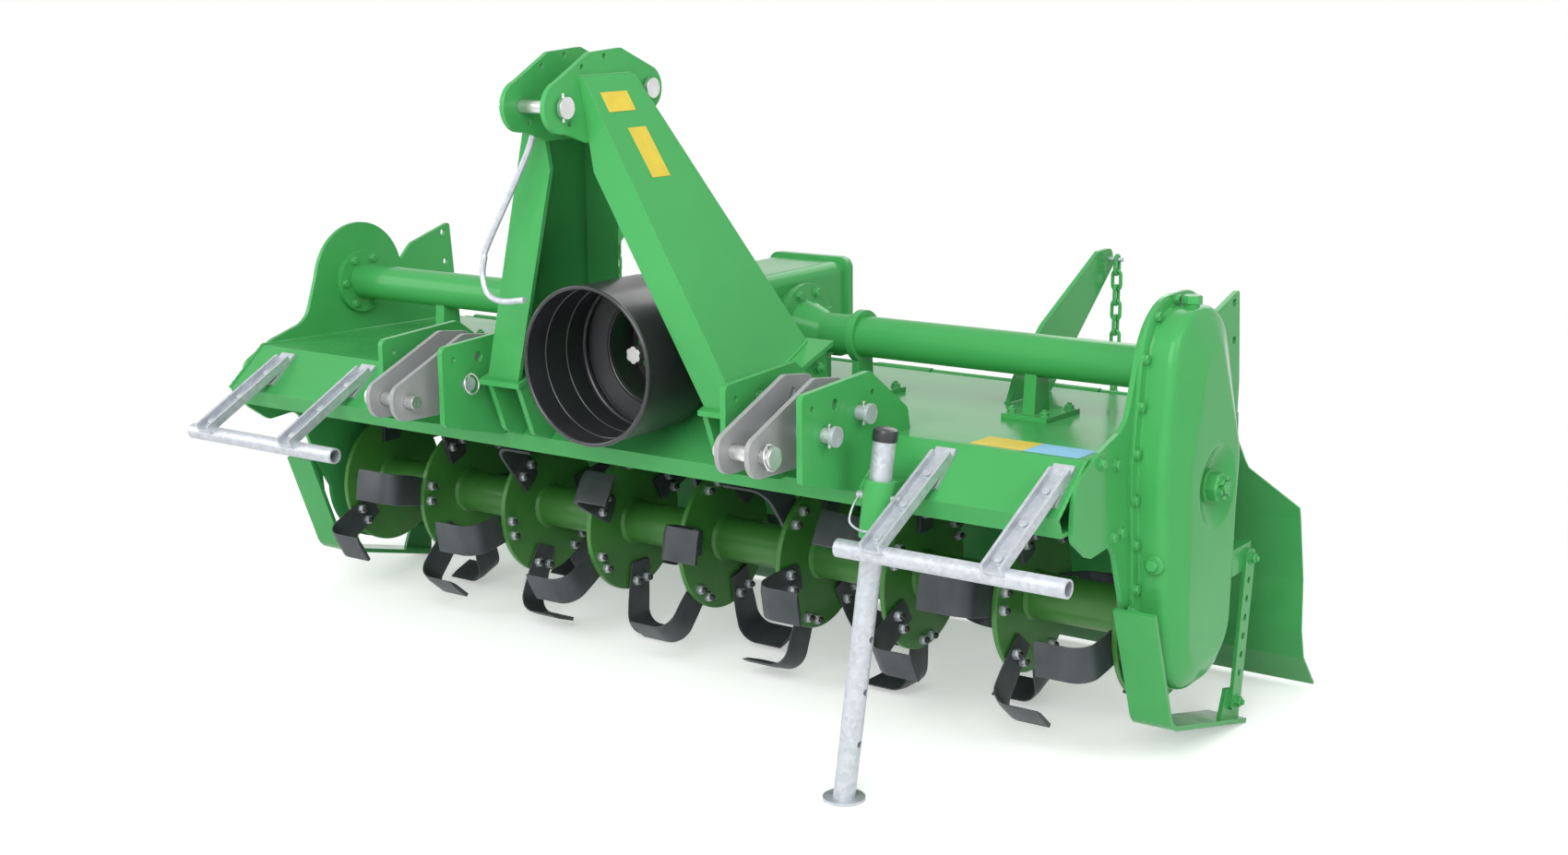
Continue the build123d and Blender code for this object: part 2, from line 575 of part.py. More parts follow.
def tine():
    """L blade: a flat shank on the flange's +x face, bent in three flats to an axial blade at the tip."""
    out = TIP_R - 4.0
    outer = []
    inner = []
    for deg in (180, 150, 120, 90):
        c = math.cos(math.radians(deg))
        n = math.sin(math.radians(deg))
        outer.append((TINE_BEND * (1 + c), out - TINE_BEND * (1 - n)))
        inner.append((TINE_BEND + (TINE_BEND - TINE_T) * c, out - TINE_BEND + (TINE_BEND - TINE_T) * n))
    prof = rface([(0, TINE_ROOT)] + outer + [(TINE_W, out), (TINE_W, out - TINE_T)] + inner[::-1]
                 + [(TINE_T, TINE_ROOT)])
    blade = extrude(Plane.XZ * prof, amount=36, both=True)
    lead = Plane.YZ * rface([(-36, 90), (20, 90), (36, 170), (44, 280), (-30, 280), (-36, 170)])
    return blade & (Pos(-5, 0, 0) * extrude(lead, amount=140))


tine_right = tine()
tine_left = mirror(tine_right, about=Plane.YZ)
blades = []
for i in range(FLANGE_N):
    xf = FLANGE_X0 + FLANGE_PITCH * i
    for k in range(6):
        right = k % 2 == 0
        if i == 0 and not right:
            continue
        if i == FLANGE_N - 1 and right:
            continue
        ang = 60 * k + 20 * i
        src = tine_right if right else tine_left
        side = FLANGE_T / 2 if right else -FLANGE_T / 2
        blades.append(Pos(xf + side, 0, ROTOR_Z) * Rot(ang, 0, 0) * src)
parts["rotor"] = drum.fuse(*blades)

# Tailgate
gate_line = [(HINGE[0] + 20, HINGE[1] - 6), (350, 515), (386, 400), (416, 262), (421, 150), (440, 84), (508, 8)]
gate_pts = strip(gate_line, 5.0)
GATE_R = 1056.0
GATE_L = 2 * MID_X - GATE_R
gate = px(rface(gate_pts), GATE_L, GATE_R)
for sgn in (1, -1):
    edge = GATE_R if sgn > 0 else GATE_L
    inner = IN_R - 8 if sgn > 0 else IN_L + 8
    corner = rface([(inner, 700), (edge + sgn * 5, 700), (edge + sgn * 5, 420), (inner + sgn * 24, 500),
                    (inner, 560)])
    gate -= pyy(corner, 280, 520)
knuckle_gate = []
knuckle_hood = []
KN = 5
step = (IN_R - IN_L - 80) / KN
for i in range(KN):
    xk = IN_L + 40 + step * i
    knuckle_gate.append((xk + 6, xk + step * 0.35))
    knuckle_hood.append((xk + step * 0.35 + 6, xk + step))
for a, b in knuckle_gate:
    gate += cx(a, b, *HINGE, 15) - cx(a - 1, b + 1, *HINGE, HINGE_R + FIT)
    gate += box(a, b, HINGE[0] + 6, HINGE[0] + 22, HINGE[1] - 14, HINGE[1] - 2) - cx(a - 1, b + 1, *HINGE, 12)
gate -= cx(IN_L, IN_R, *HINGE, HINGE_R + FIT)
eyes = []
for xa in (ARM_R, ARM_L):
    eye = px(rface([(400, 300), (400, 232), (505, 236, 16), (520, 262, 14), (505, 282, 16)]), xa - 30, xa - 20)
    eye -= cx(xa - 40, xa + 40, CHAIN_Y, CHAIN_LOW_Z, 8)
    eyes.append(eye)
cut = px(rface([(300, 700), (HINGE[0], 700)] + gate_line + [(300, 8)]), GATE_L - 5, GATE_R + 5)
for e in eyes:
    gate += e - cut
parts["tailgate"] = gate
hinge_k = cx(IN_L + 10, IN_R - 10, *HINGE, HINGE_R)
for a, b in knuckle_hood:
    hinge_k += cx(a, b, *HINGE, 13)
    hinge_k += box(a, b, HOOD_REAR[0] - 14, HINGE[0], HOOD_REAR[1] - HOOD_T - 10, HOOD_REAR[1] - HOOD_T)
hinge_k -= hood
parts["tailgate_hinge"] = hinge_k

# Lift chains
LINK_P = 33.0
LINK_W = 27.0
WIRE = 8.0
LINK_SLACK = 0.6
SHACKLE_R = 4.5


def link(turned):
    """Square-section chain link with cut corners, long side upright."""
    h = LINK_P + LINK_SLACK + 2 * WIRE
    cut = 8.0
    w = LINK_W / 2
    f = rface([(-w, cut - h / 2), (cut - w, -h / 2), (w - cut, -h / 2), (w, cut - h / 2),
               (w, h / 2 - cut), (w - cut, h / 2), (cut - w, h / 2), (-w, h / 2 - cut)])
    f -= Rectangle(LINK_W - 2 * WIRE, LINK_P + LINK_SLACK)
    s = extrude(Plane.XZ * f, amount=WIRE / 2, both=True)
    if turned:
        s = Rot(0, 0, 90) * s
    return s


def chain(xa):
    """Row of links hanging from the arm tip."""
    out = []
    n = int((CHAIN_TOP_Z - CHAIN_LOW_Z) / LINK_P)
    for i in range(n):
        z = CHAIN_TOP_Z + SHACKLE_R + SEAT - (LINK_P + LINK_SLACK) / 2 - LINK_P * i
        out.append(Pos(xa, CHAIN_Y, z) * link(i % 2 == 0))
    return out


parts["chain_shackles"] = solids_of(cx(ARM_R - 36, ARM_R + 14, CHAIN_Y, CHAIN_TOP_Z, SHACKLE_R),
                                    cx(ARM_L - 14, ARM_L + 36, CHAIN_Y, CHAIN_TOP_Z, SHACKLE_R))
parts["lift_chain_right"] = solids_of(*chain(ARM_R))
parts["lift_chain_left"] = solids_of(*chain(ARM_L))

# Shift to the box centre and write one file a piece
boxes = [s.bounding_box() for s in parts.values()]
SHIFT_X = -(min(b.min.X for b in boxes) + max(b.max.X for b in boxes)) / 2
SHIFT_Y = -(min(b.min.Y for b in boxes) + max(b.max.Y for b in boxes)) / 2
SHIFT_Z = -min(b.min.Z for b in boxes)
os.makedirs("parts", exist_ok=True)
for name, shape in parts.items():
    export_step(Pos(SHIFT_X, SHIFT_Y, SHIFT_Z) * shape, "parts/" + name + ".step")
print("shift", SHIFT_X, SHIFT_Y, SHIFT_Z)
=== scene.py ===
"""Rotavator: finishes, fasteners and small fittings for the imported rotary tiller.

Sizes and places are millimetres from the machine datum: x from the hitch centre, y from the rotor axis and
z from the floor. in_frame() carries them into the row frame, in metres. Lamps and floor are in metres.
A shape is a pair: an array of points, and a list of face arrays, each with equally many corners.
"""
import json
import math

import bmesh
import bpy
import mathutils
import numpy as np
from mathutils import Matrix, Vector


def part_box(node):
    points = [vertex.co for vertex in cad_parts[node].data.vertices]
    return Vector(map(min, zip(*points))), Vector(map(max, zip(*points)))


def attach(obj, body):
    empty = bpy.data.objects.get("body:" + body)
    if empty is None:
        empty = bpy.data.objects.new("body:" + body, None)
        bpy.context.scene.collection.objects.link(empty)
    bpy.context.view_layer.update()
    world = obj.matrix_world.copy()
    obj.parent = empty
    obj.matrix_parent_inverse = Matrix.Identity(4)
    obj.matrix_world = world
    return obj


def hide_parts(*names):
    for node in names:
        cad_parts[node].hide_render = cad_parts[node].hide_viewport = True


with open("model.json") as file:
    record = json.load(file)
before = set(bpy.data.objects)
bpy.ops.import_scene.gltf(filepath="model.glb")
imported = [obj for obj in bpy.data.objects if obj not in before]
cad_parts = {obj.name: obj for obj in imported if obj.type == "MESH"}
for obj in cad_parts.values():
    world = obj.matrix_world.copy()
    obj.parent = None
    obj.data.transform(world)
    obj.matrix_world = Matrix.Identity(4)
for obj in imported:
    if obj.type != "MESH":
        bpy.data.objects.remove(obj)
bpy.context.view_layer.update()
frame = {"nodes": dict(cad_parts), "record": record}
MM = 0.001


def middle(node, axis):
    """Middle of a node's box along one axis."""
    low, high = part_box(node)
    return (low[axis] + high[axis]) / 2


DATUM = np.array([middle("mast_head_plates", 0), middle("left_bearing_hub", 1), 0.0])


def in_frame(places):
    """Machine places in millimetres as row frame metres."""
    return np.asarray(places, float) * MM + DATUM


# Rotor
ROTOR_Z = 270.0
FLANGE_X0 = -1170.0
FLANGE_PITCH = 260.0
FLANGE_N = 9
FLANGE_T = 12.0
FLANGE_R = 160.0
FLANGE_EDGE = 1.5
DRUM_R = 48.0
DRUM_END_GAP = 6.0
DRUM_WELD_UP = 5.0
DRUM_WELD_FLAT = 1.0
DRUM_WELD_RUN = 7.0
STUB_R = 30.0
STUB_OUT_LEFT = 26.0
STUB_OUT_RIGHT = 14.0
MID_X = FLANGE_X0 + FLANGE_PITCH * (FLANGE_N - 1) / 2

# Blades: an edge is a row of heights above the axis and a row of its y at each
TINES_PER_FLANGE = 6
FLANGE_LAG = 20.0
TIP_R = 262.0
TINE_OUT = TIP_R - 4.0
TINE_BEND = 44.0
TINE_T = 9.0
TINE_SHANK_Z = (96.0, 140.0, 185.0)
TINE_FOOT_X = (70.0, 95.0, 112.0)
TINE_FRONT = ((90.0, 170.0, 280.0), (20.0, 36.0, 44.0))
TINE_BACK = ((170.0, 280.0), (-36.0, -30.0))
TINE_GRIND = 20.0
TINE_EDGE = 1.2
TINE_CHAMFER = 1.0
TINE_HOLES = ((-21.0, 138.0), (15.0, 138.0))
TINE_BOLT_R = 11.5

# End plates, cross tube and chain case
TUBE_Y = -30.0
TUBE_Z = 766.0
END_LEFT = -1220.0
END_RIGHT = 936.0
END_MID = (END_LEFT + END_RIGHT) / 2
PLATE_T = 10.0
LEFT_FACE_X = END_LEFT - PLATE_T
HUB_FACE_X = LEFT_FACE_X - 38.0
COVER_X = END_RIGHT + PLATE_T
CASE_TOP_Z = TUBE_Z + 124.0
CASE_TOP_HALF = 100.0
CASE_TOP_R = 110.0
CASE_WAIST_Z = 596.0
CASE_WAIST_Y = (-176.0, 168.0)
CASE_WAIST_R = 220.0
CASE_LOW_Z = ROTOR_Z - 122.0
CASE_LOW_HALF = 136.0
CASE_LOW_R = 118.0

# Case cover: a corner of its face is (y, z, radius)
COVER_DEPTH = 84.0
BORE_R = STUB_R + 6.0
BORE_DEPTH = 20.0
LIP_W = 22.0
LIP_T = 8.0
LIP_EDGE = 1.0
LIP_FILLET = 4.0
WALL = 60.0
EDGE_R = 14.0
FACE_R = 9.0
HOLD = 2.0
FACE_CORNERS = ((-42.0, 792.0, 26.0), (26.0, 806.0, 12.0), (120.0, 600.0, 90.0), (94.0, 196.0, 78.0),
                (-90.0, 196.0, 78.0), (-104.0, 590.0, 150.0))
RECESS = (20.0, 541.0)
RECESS_R = 82.0
RECESS_D = 26.0
DISH_ROUND = 3.0
DISH_DROP = 2.0
DISH_HOLD = 1.0
BOSS_R = 32.0
BOSS_DROP = 14.0
BOSS_EDGE = 2.0

# Hood and front beam, as (y, z) points of the section
HOOD_FRONT = np.array([-348.0, 652.0])
HOOD_REAR = np.array([302.0, 632.0])
FOLD = np.array([-452.0, 567.0])

# Mast
HEAD_OUT = 54.0
POST_TOP = (55.0, 1318.0)
POST_LOW = (310.0, 700.0)
POST_T = 8.0
BASE_OUT_X = POST_LOW[0] + POST_T
FOOT_FRONT_Y = -538.0
FOOT_SLOPE = 1 / 3

# Lift chains
ARM_OFF = 704.0
CHAIN_Y = 498.0
CHAIN_TOP_Z = 886.0
LINK_PITCH = 33.0
LINK_WIDTH = 27.0
LINK_COUNT = 18
LINK_SLACK = 0.6
WIRE_R = 4.0
SHACKLE_R = 4.5
SEAT = 0.3

# Bolts and nuts: R is the corner radius of a head
CASE_BOLT_R = 9.5
CASE_BOLT_N = 22
PLATE_BOLT_R = 10.5
PLATE_BOLTS = ((-247.0, 626.0), (-306.0, 640.0), (-222.0, 494.0), (-254.0, 492.0))
CASTLE_NUT_R = 29.0
PLUG = (COVER_X + 42.0, -160.0, 424.0)
PLUG_AXIS = (0.0, -1.0, 0.09)
FILLER = (COVER_X + 38.0, TUBE_Y + 6.0, CASE_TOP_Z)
NECK_FACE_X = 121.0
NECK_BOLT_R = 9.5
NECK_BOLT_N = 8
NECK_CIRCLE_R = 82.0
NECK_START = 0.39
LID_Y = 168.0
LID_BOLT_R = 8.0
LID_ROW_X = (-90.0, -45.0, 0.0, 45.0, 90.0)
LID_ROW_Z = (692.0, 882.0)
LID_SIDE_X = (-92.0, 92.0)
LID_SIDE_Z = (740.0, 787.0, 834.0)
TUBE_FLANGE_T = 14.0
TUBE_BOLT_R = 9.0
TUBE_BOLT_N = 6
TUBE_CIRCLE_R = 61.0
HUB_BOLT_R = 9.5
HUB_BOLT_N = 6
HUB_CIRCLE_R = 54.0
BASE_BOLT_R = 10.5
BASE_BOLT_Y = (-496.0, -420.0, -340.0, -284.0)
BASE_BOLT_DROP = 38.0
SADDLE_X = (259.0, -544.0, MID_X + 795.0, MID_X - 795.0)
SADDLE_BOLT_DX = (-36.0, 36.0)
SADDLE_BOLT_Y = (-62.0, 42.0)
SADDLE_T = 10.0
SADDLE_NUT_R = 9.0
STRAP_BOLTS = ((196.3, 55.6), (242.3, 345.6))
STRAP_FACE_X = COVER_X + 66.0
SKID_BOLT = (-189.0, 334.0)
SKID_FACE_X = COVER_X + 9.0
SKID_NUT_R = 11.0

# Guards and the channel arms that carry them
GUARD_Y = -603.0
GUARD_Z = 498.0
GUARD_R = 17.0
GUARD_ARMS = (662.0, 905.0, -1110.0, -845.0)
ARM_RISE = 16.0
ARM_ON_TUBE = 10.0
ARM_FLOOR = 3.0
GUARD_BOLT_R = 9.0
GUARD_BOLT_START = 28.0
GUARD_BOLT_SHARE = 0.55
GUARD_BOLT_END = 2.0

# Hitch and mast pins: a cross rod is (x, pin, half length), a ring clip is (x, pin, radius, lean)
PIN_X = 437.0
CLEVIS_OUT_X = PIN_X + 38.0
HITCH_IN_END = 338.0
HITCH_OUT_FACE = 527.0
LOWER_PIN = (-685.0, 667.0)
HITCH_PINS = ((-455.0, 712.0), (-568.0, 690.0))
TOP_PIN = (-710.0, 1264.0)
REAR_PIN = (-462.0, 1288.0)
CROSS_ROD_R = 3.2
CLEVIS_ROD = (CLEVIS_OUT_X + 11.0, LOWER_PIN, 24.0)
HITCH_OUT_RODS = tuple((HITCH_OUT_FACE + 11.0, pin, 22.0) for pin in HITCH_PINS)
HITCH_IN_RODS = tuple((HITCH_IN_END + 4.0, pin, 20.0) for pin in HITCH_PINS)
HEAD_RODS = ((HEAD_OUT + 3.0, TOP_PIN, 26.0), (-HEAD_OUT - 18.0, TOP_PIN, 24.0),
             (-HEAD_OUT - 12.0, REAR_PIN, 22.0))
CLIP_WIRE_R = 1.9
CLEVIS_CLIP = (CLEVIS_OUT_X + 14.0, LOWER_PIN, 22.0, 5.0)
HITCH_CLIPS = tuple((HITCH_IN_END + 1.0, pin, 20.0, -4.0) for pin in HITCH_PINS)

# Stand
LEG_TOP = np.array([612.0, -497.0, 691.0])
LEG_FOOT = np.array([561.0, -557.0, 0.0])
SLEEVE_R = 29.0
LOCK_Z = 574.0
LOCK_PIN_R = 6.0
LOCK_PIN_SINK = 2.0
LOCK_PIN_OUT = (17.0, 15.0)
LOCK_WIRE_R = 2.2
LOCK_BOW = ((SLEEVE_R + 13.0, 0.0, 0.0), (SLEEVE_R + 14.0, -22.0, -20.0), (SLEEVE_R + 6.0, -40.0, -44.0),
            (0.0, -47.0, -54.0), (-SLEEVE_R - 6.0, -40.0, -44.0), (-SLEEVE_R - 12.0, -22.0, -20.0),
            (-SLEEVE_R - 11.0, 0.0, 0.0))

# Drive shaft hook: places from the mast's top
HOOK_ROD_R = 6.0
HOOK_X = -HEAD_OUT - 6.3
HOOK = ((HOOK_X, -672.0, -68.0), (HOOK_X, -672.0, -128.0), (-190.0, -656.0, -320.0), (-202.0, -657.0, -352.0),
        (-206.0, -659.0, -385.0), (-190.0, -662.0, -420.0), (-150.0, -666.0, -430.0), (-92.0, -668.0, -422.0))

# Shield: a hoop is (y, ring radius, wire radius)
SHIELD_R = 155.0
SHIELD_FRONT_Y = -605.0
SHIELD_HOOPS = ((SHIELD_FRONT_Y + 3.0, SHIELD_R - 2.0, 4.5), (-548.0, SHIELD_R - 5.0, 2.4),
                (-486.0, SHIELD_R - 5.0, 2.4), (-432.0, SHIELD_R - 6.0, 5.0), (-404.0, 108.0, 4.0))

# Welds
WELD_R = 4.0
WELD_STEP = 4.5
WELD_RIPPLE = 0.16
LIFT_ARM_FACES = (ARM_OFF - 30.0, ARM_OFF - 20.0)
LIFT_ARM_WELD_Y = (66.0, 238.0)
BASE_WELD_REAR_Y = -236.0
POST_WELD_Y = (-532.0, -268.0)
POST_WELD_LOW_Z = POST_LOW[1] + 6.0
POST_WELD_RISE = 1.0
HEAD_WELD_X = HEAD_OUT + 1.0
HEAD_WELD_Y = (-660.0, -514.0)
HEAD_WELD_R = 3.2
HITCH_WELD_X = (HITCH_IN_END + 9.0, HITCH_OUT_FACE)

# Blank patches: one on the post is (y, top z, width, height, slant)
PATCH_SINK = 0.4
PATCH_RISE = 0.7
POST_PATCHES = ((-628.0, 1288.0, 76.0, 36.0, 8.0), (-584.0, 1222.0, 52.0, 92.0, 24.0))
HOOD_PATCH_X = (692.0, 804.0, 916.0)
HOOD_PATCH_Y = (-336.0, -258.0)

# Camera, fitted to the photograph
FOCAL_PX = 2233.55
IMAGE_W = 1700.0
SENSOR_W = 36.0
CLIP_END = 60.0
AZIMUTH = math.radians(35.28)
PITCH = math.radians(12.471)
ROLL = math.radians(-0.457)
CAMERA = (2546.8, -3547.0, 1500.7)

# Lamps, floor and world, in metres: a lamp is (name, place, target, size, watts)
LAMPS = (("key", (1.5, -4.0, 3.4), (0.0, 0.0, 0.5), 3.4, 215),
         ("side", (4.2, -0.6, 2.6), (0.3, 0.0, 0.5), 2.2, 50),
         ("fill", (-3.8, -2.6, 2.2), (-0.2, 0.0, 0.5), 2.6, 70),
         ("rim", (0.0, 3.8, 3.2), (0.0, 0.0, 0.6), 3.0, 60))
FLOOR_HALF = 14.0
FLOOR_Z = -0.0005
FLOOR_TONE = 0.86
FLOOR_LIFT = 0.42
FLOOR_FADE = (1.3, 2.6)
WORLD_LIGHT = 0.38
WHITE = (1.0, 1.0, 1.0)


def hood_z(y):
    """Height of the hood's upper skin at y."""
    fall = (HOOD_FRONT[1] - HOOD_REAR[1]) / (HOOD_FRONT[0] - HOOD_REAR[0])
    return HOOD_REAR[1] + fall * (y - HOOD_REAR[0])


def foot_z(y):
    """Height of the sloping joint between a post and its base."""
    return POST_LOW[1] + (y - FOOT_FRONT_Y) * FOOT_SLOPE


def post_x(z):
    """Outer face of the right mast post at a height."""
    lean = (POST_LOW[0] - POST_TOP[0]) / (POST_TOP[1] - POST_LOW[1])
    return POST_TOP[0] + lean * (POST_TOP[1] - z) + POST_T


# Mesh building


def mesh_piece(name, shape, body, material, sharp=35):
    """New object from a shape, welded and turned outward; it rides on a body and takes a slot."""
    points, faces = shape
    mesh = bpy.data.meshes.new(name)
    mesh.from_pydata(points.tolist(), [], [face for block in faces for face in block.tolist()])
    work = bmesh.new()
    work.from_mesh(mesh)
    bmesh.ops.remove_doubles(work, verts=work.verts, dist=1e-6)
    bmesh.ops.dissolve_degenerate(work, edges=work.edges, dist=1e-7)
    bmesh.ops.recalc_face_normals(work, faces=work.faces)
    work.to_mesh(mesh)
    work.free()
    mesh.polygons.foreach_set("use_smooth", np.full(len(mesh.polygons), True))
    mesh.set_sharp_from_angle(angle=math.radians(sharp))
    piece = bpy.data.objects.new(name, mesh)
    bpy.context.scene.collection.objects.link(piece)
    mesh.materials.append(material)
    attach(piece, body)
    return piece


def grid_faces(rows, cols, wrap_rows, wrap_cols):
    """Quads of a rows by cols grid of points, closed round either way."""
    row = np.arange(rows if wrap_rows else rows - 1)[:, None]
    col = np.arange(cols if wrap_cols else cols - 1)[None, :]
    start = row * cols
    next_start = (row + 1) % rows * cols
    next_col = (col + 1) % cols
    quads = np.stack([start + col, next_start + col, next_start + next_col, start + next_col], -1)
    return quads.reshape(-1, 4)


def capped_faces(rows, cols):
    """Faces of a grid closed round its columns, with one face over the first row and one over the last."""
    first = np.arange(cols)
    caps = np.stack([first[::-1], first + (rows - 1) * cols])
    return [grid_faces(rows, cols, False, True), caps]


def axes_for(direction):
    """Three unit vectors, the last along the direction."""
    along = direction / np.linalg.norm(direction)
    guess = np.array([0.0, 0.0, 1.0]) if abs(along[2]) < 0.9 else np.array([1.0, 0.0, 0.0])
    across = np.cross(guess, along)
    across = across / np.linalg.norm(across)
    return across, np.cross(along, across), along


def join(*shapes):
    """Several shapes as one."""
    starts = np.cumsum([0] + [len(points) for points, _ in shapes])
    faces = [block + start for (_, blocks), start in zip(shapes, starts) for block in blocks]
    return np.concatenate([points for points, _ in shapes]), faces


def lay(shape, places, directions):
    """Copies of a shape, one at each place, its axis along one direction for all or along each place's own."""
    points, faces = shape
    count = len(places)
    turns = np.stack([axes_for(d) for d in np.broadcast_to(np.asarray(directions, float), (count, 3))])
    copies = points @ turns * MM + in_frame(places)[:, None, :]
    shift = (np.arange(count) * len(points))[:, None, None]
    return copies.reshape(-1, 3), [(block + shift).reshape(-1, block.shape[1]) for block in faces]


def turned(profile, sides):
    """Surface of revolution: each (radius, height) point of the profile is carried round the axis.

    Point = (r cos t, r sin t, h), with t stepping once round in equal parts.
    """
    radius, height = np.asarray(profile, float).T[:, :, None]
    t = np.arange(sides) * 2 * np.pi / sides
    rings = np.stack([radius * np.cos(t), radius * np.sin(t), np.repeat(height, sides, 1)], -1)
    return rings.reshape(-1, 3), [grid_faces(len(profile), sides, False, True)]


def tube_path(path, radius, sides=12, closed=False):
    """Round wire: a circle carried along a path and square to it, path + r (cos t side + sin t other)."""
    if closed:
        tangent = np.roll(path, -1, 0) - np.roll(path, 1, 0)
    else:
        tangent = np.gradient(path, axis=0)
    tangent /= np.linalg.norm(tangent, axis=1)[:, None]
    side = np.cross(tangent, (0.31, 0.22, 0.92))
    side /= np.linalg.norm(side, axis=1)[:, None]
    other = np.cross(tangent, side)
    t = np.arange(sides)[None, :, None] * 2 * np.pi / sides
    rings = path[:, None, :] + radius * (np.cos(t) * side[:, None, :] + np.sin(t) * other[:, None, :])
    faces = [grid_faces(len(path), sides, True, True)] if closed else capped_faces(len(path), sides)
    return rings.reshape(-1, 3), faces


def smooth_curve(points, steps):
    """Points along a curve through the given ones (Catmull-Rom between each pair)."""
    p = np.asarray(points, float)
    p = np.concatenate([2 * p[:1] - p[1:2], p, 2 * p[-1:] - p[-2:-1]])
    t = np.linspace(0, 1, steps, endpoint=False)[:, None]
    spans = []
    for a, b, c, d in zip(p[:-3], p[1:-2], p[2:-1], p[3:]):
        bent = (2 * a - 5 * b + 4 * c - d) * t ** 2 + (3 * b - a - 3 * c + d) * t ** 3
        spans.append(0.5 * (2 * b + (c - a) * t + bent))
    return np.concatenate([*spans, p[-2:-1]])


# Fastener shapes: each profile is in shares of the corner radius r, and seats at height 0


def sized(profile, r, sides):
    """Turned profile whose numbers are shares of r."""
    return turned(np.array(profile) * r, sides)


def washer(r):
    """Round washer, sunk a little into what it lies on."""
    return sized([(0, -0.1), (1.3, -0.1), (1.3, 0.2), (0, 0.2)], r, 16)


def hex_bolt(r):
    """Washer and chamfered six-sided head."""
    head = sized([(0, 0.1), (1, 0.1), (1, 0.72), (0.86, 0.86), (0, 0.86)], r, 6)
    return join(washer(r), head)


def hex_nut(r):
    """Washer, six-sided nut and the end of its threaded rod."""
    nut = sized([(0, 0.1), (0.86, 0.1), (1, 0.22), (1, 0.85), (0.86, 0.98), (0, 0.98)], r, 6)
    end = sized([(0, 0.9), (0.54, 0.9), (0.54, 1.35), (0.42, 1.48), (0, 1.48)], r, 12)
    return join(washer(r), nut, end)


def collar_nut(r):
    """Six-sided nut with the round collar of a locking insert."""
    nut = sized([(0, -0.1), (0.9, -0.1), (1, 0.06), (1, 0.72), (0.84, 0.86), (0, 0.86)], r, 6)
    collar = sized([(0, 0.7), (0.84, 0.7), (0.84, 1.02), (0.72, 1.14), (0, 1.14)], r, 16)
    return join(nut, collar)


def rod_end(r):
    """Rounded end of the threaded rod that stands out of a collar nut."""
    return sized([(0, 0.9), (0.58, 0.9), (0.58, 1.4), (0.48, 1.6), (0.28, 1.72), (0, 1.76)], r, 14)


def castle_nut(r):
    """Six-sided nut and stud under a crown, a ring whose top steps up and down six times round."""
    nut = sized([(0, -0.2), (0.9, -0.2), (1, -0.08), (1, 0.62), (0.88, 0.74), (0, 0.74)], r, 6)
    stud = sized([(0, 0.7), (0.44, 0.7), (0.44, 1.12), (0.36, 1.2), (0, 1.2)], r, 16)
    sides = 48
    t = np.arange(sides) * 2 * np.pi / sides
    radius = np.array([0.52, 0.80, 0.80, 0.52])[:, None]
    low = np.full(sides, 0.7)
    top = np.where(np.arange(sides) % 8 < 5, 1.08, 0.80)
    crown = np.stack([radius * np.cos(t), radius * np.sin(t), np.stack([low, low, top, top])], -1)
    return join(nut, stud, (crown.reshape(-1, 3) * r, [grid_faces(4, sides, True, True)]))


# Shader groups and nodes


def new_group(name, inputs, outputs):
    """Empty shader group with float inputs and the named outputs."""
    group = bpy.data.node_groups.new(name, "ShaderNodeTree")
    for label, value in inputs:
        socket = group.interface.new_socket(label, in_out="INPUT", socket_type="NodeSocketFloat")
        socket.default_value = value
    for label, kind in outputs:
        group.interface.new_socket(label, in_out="OUTPUT", socket_type=kind)
    return group, group.nodes.new("NodeGroupInput"), group.nodes.new("NodeGroupOutput")


def place_group(tree, group, values):
    """Node of a shader group, with some of its inputs set."""
    node = tree.nodes.new("ShaderNodeGroup")
    node.node_tree = group
    for label, value in values.items():
        node.inputs[label].default_value = value
    return node


def math_node(tree, operation, first, second):
    """Output of a Math node on two sockets."""
    node = tree.nodes.new("ShaderNodeMath")
    node.operation = operation
    tree.links.new(first, node.inputs[0])
    tree.links.new(second, node.inputs[1])
    return node.outputs[0]


def map_range(tree, value, source, target, smooth=False):
    """Output of a Map Range node from one pair of ends to another."""
    node = tree.nodes.new("ShaderNodeMapRange")
    node.interpolation_type = "SMOOTHSTEP" if smooth else "LINEAR"
    for label, end in zip(("From Min", "From Max", "To Min", "To Max"), (*source, *target)):
        node.inputs[label].default_value = end
    tree.links.new(value, node.inputs["Value"])
    return node.outputs["Result"]


def surface_group():
    """Cloudy tone, fine grain and faint dust from three noises on Object coordinates."""
    noises = (("Cloud", 3.0, 3.0), ("Grain", 220.0, 2.0), ("Dust", 9.0, 6.0))
    group, inlet, outlet = new_group("surface_grain", [(name + " Scale", scale) for name, scale, _ in noises],
                                     [(name, "NodeSocketFloat") for name, _, _ in noises])
    coord = group.nodes.new("ShaderNodeTexCoord")
    for name, _, detail in noises:
        noise = group.nodes.new("ShaderNodeTexNoise")
        noise.inputs["Detail"].default_value = detail
        group.links.new(coord.outputs["Object"], noise.inputs["Vector"])
        group.links.new(inlet.outputs[name + " Scale"], noise.inputs["Scale"])
        group.links.new(noise.outputs["Fac"], outlet.inputs[name])
    return group


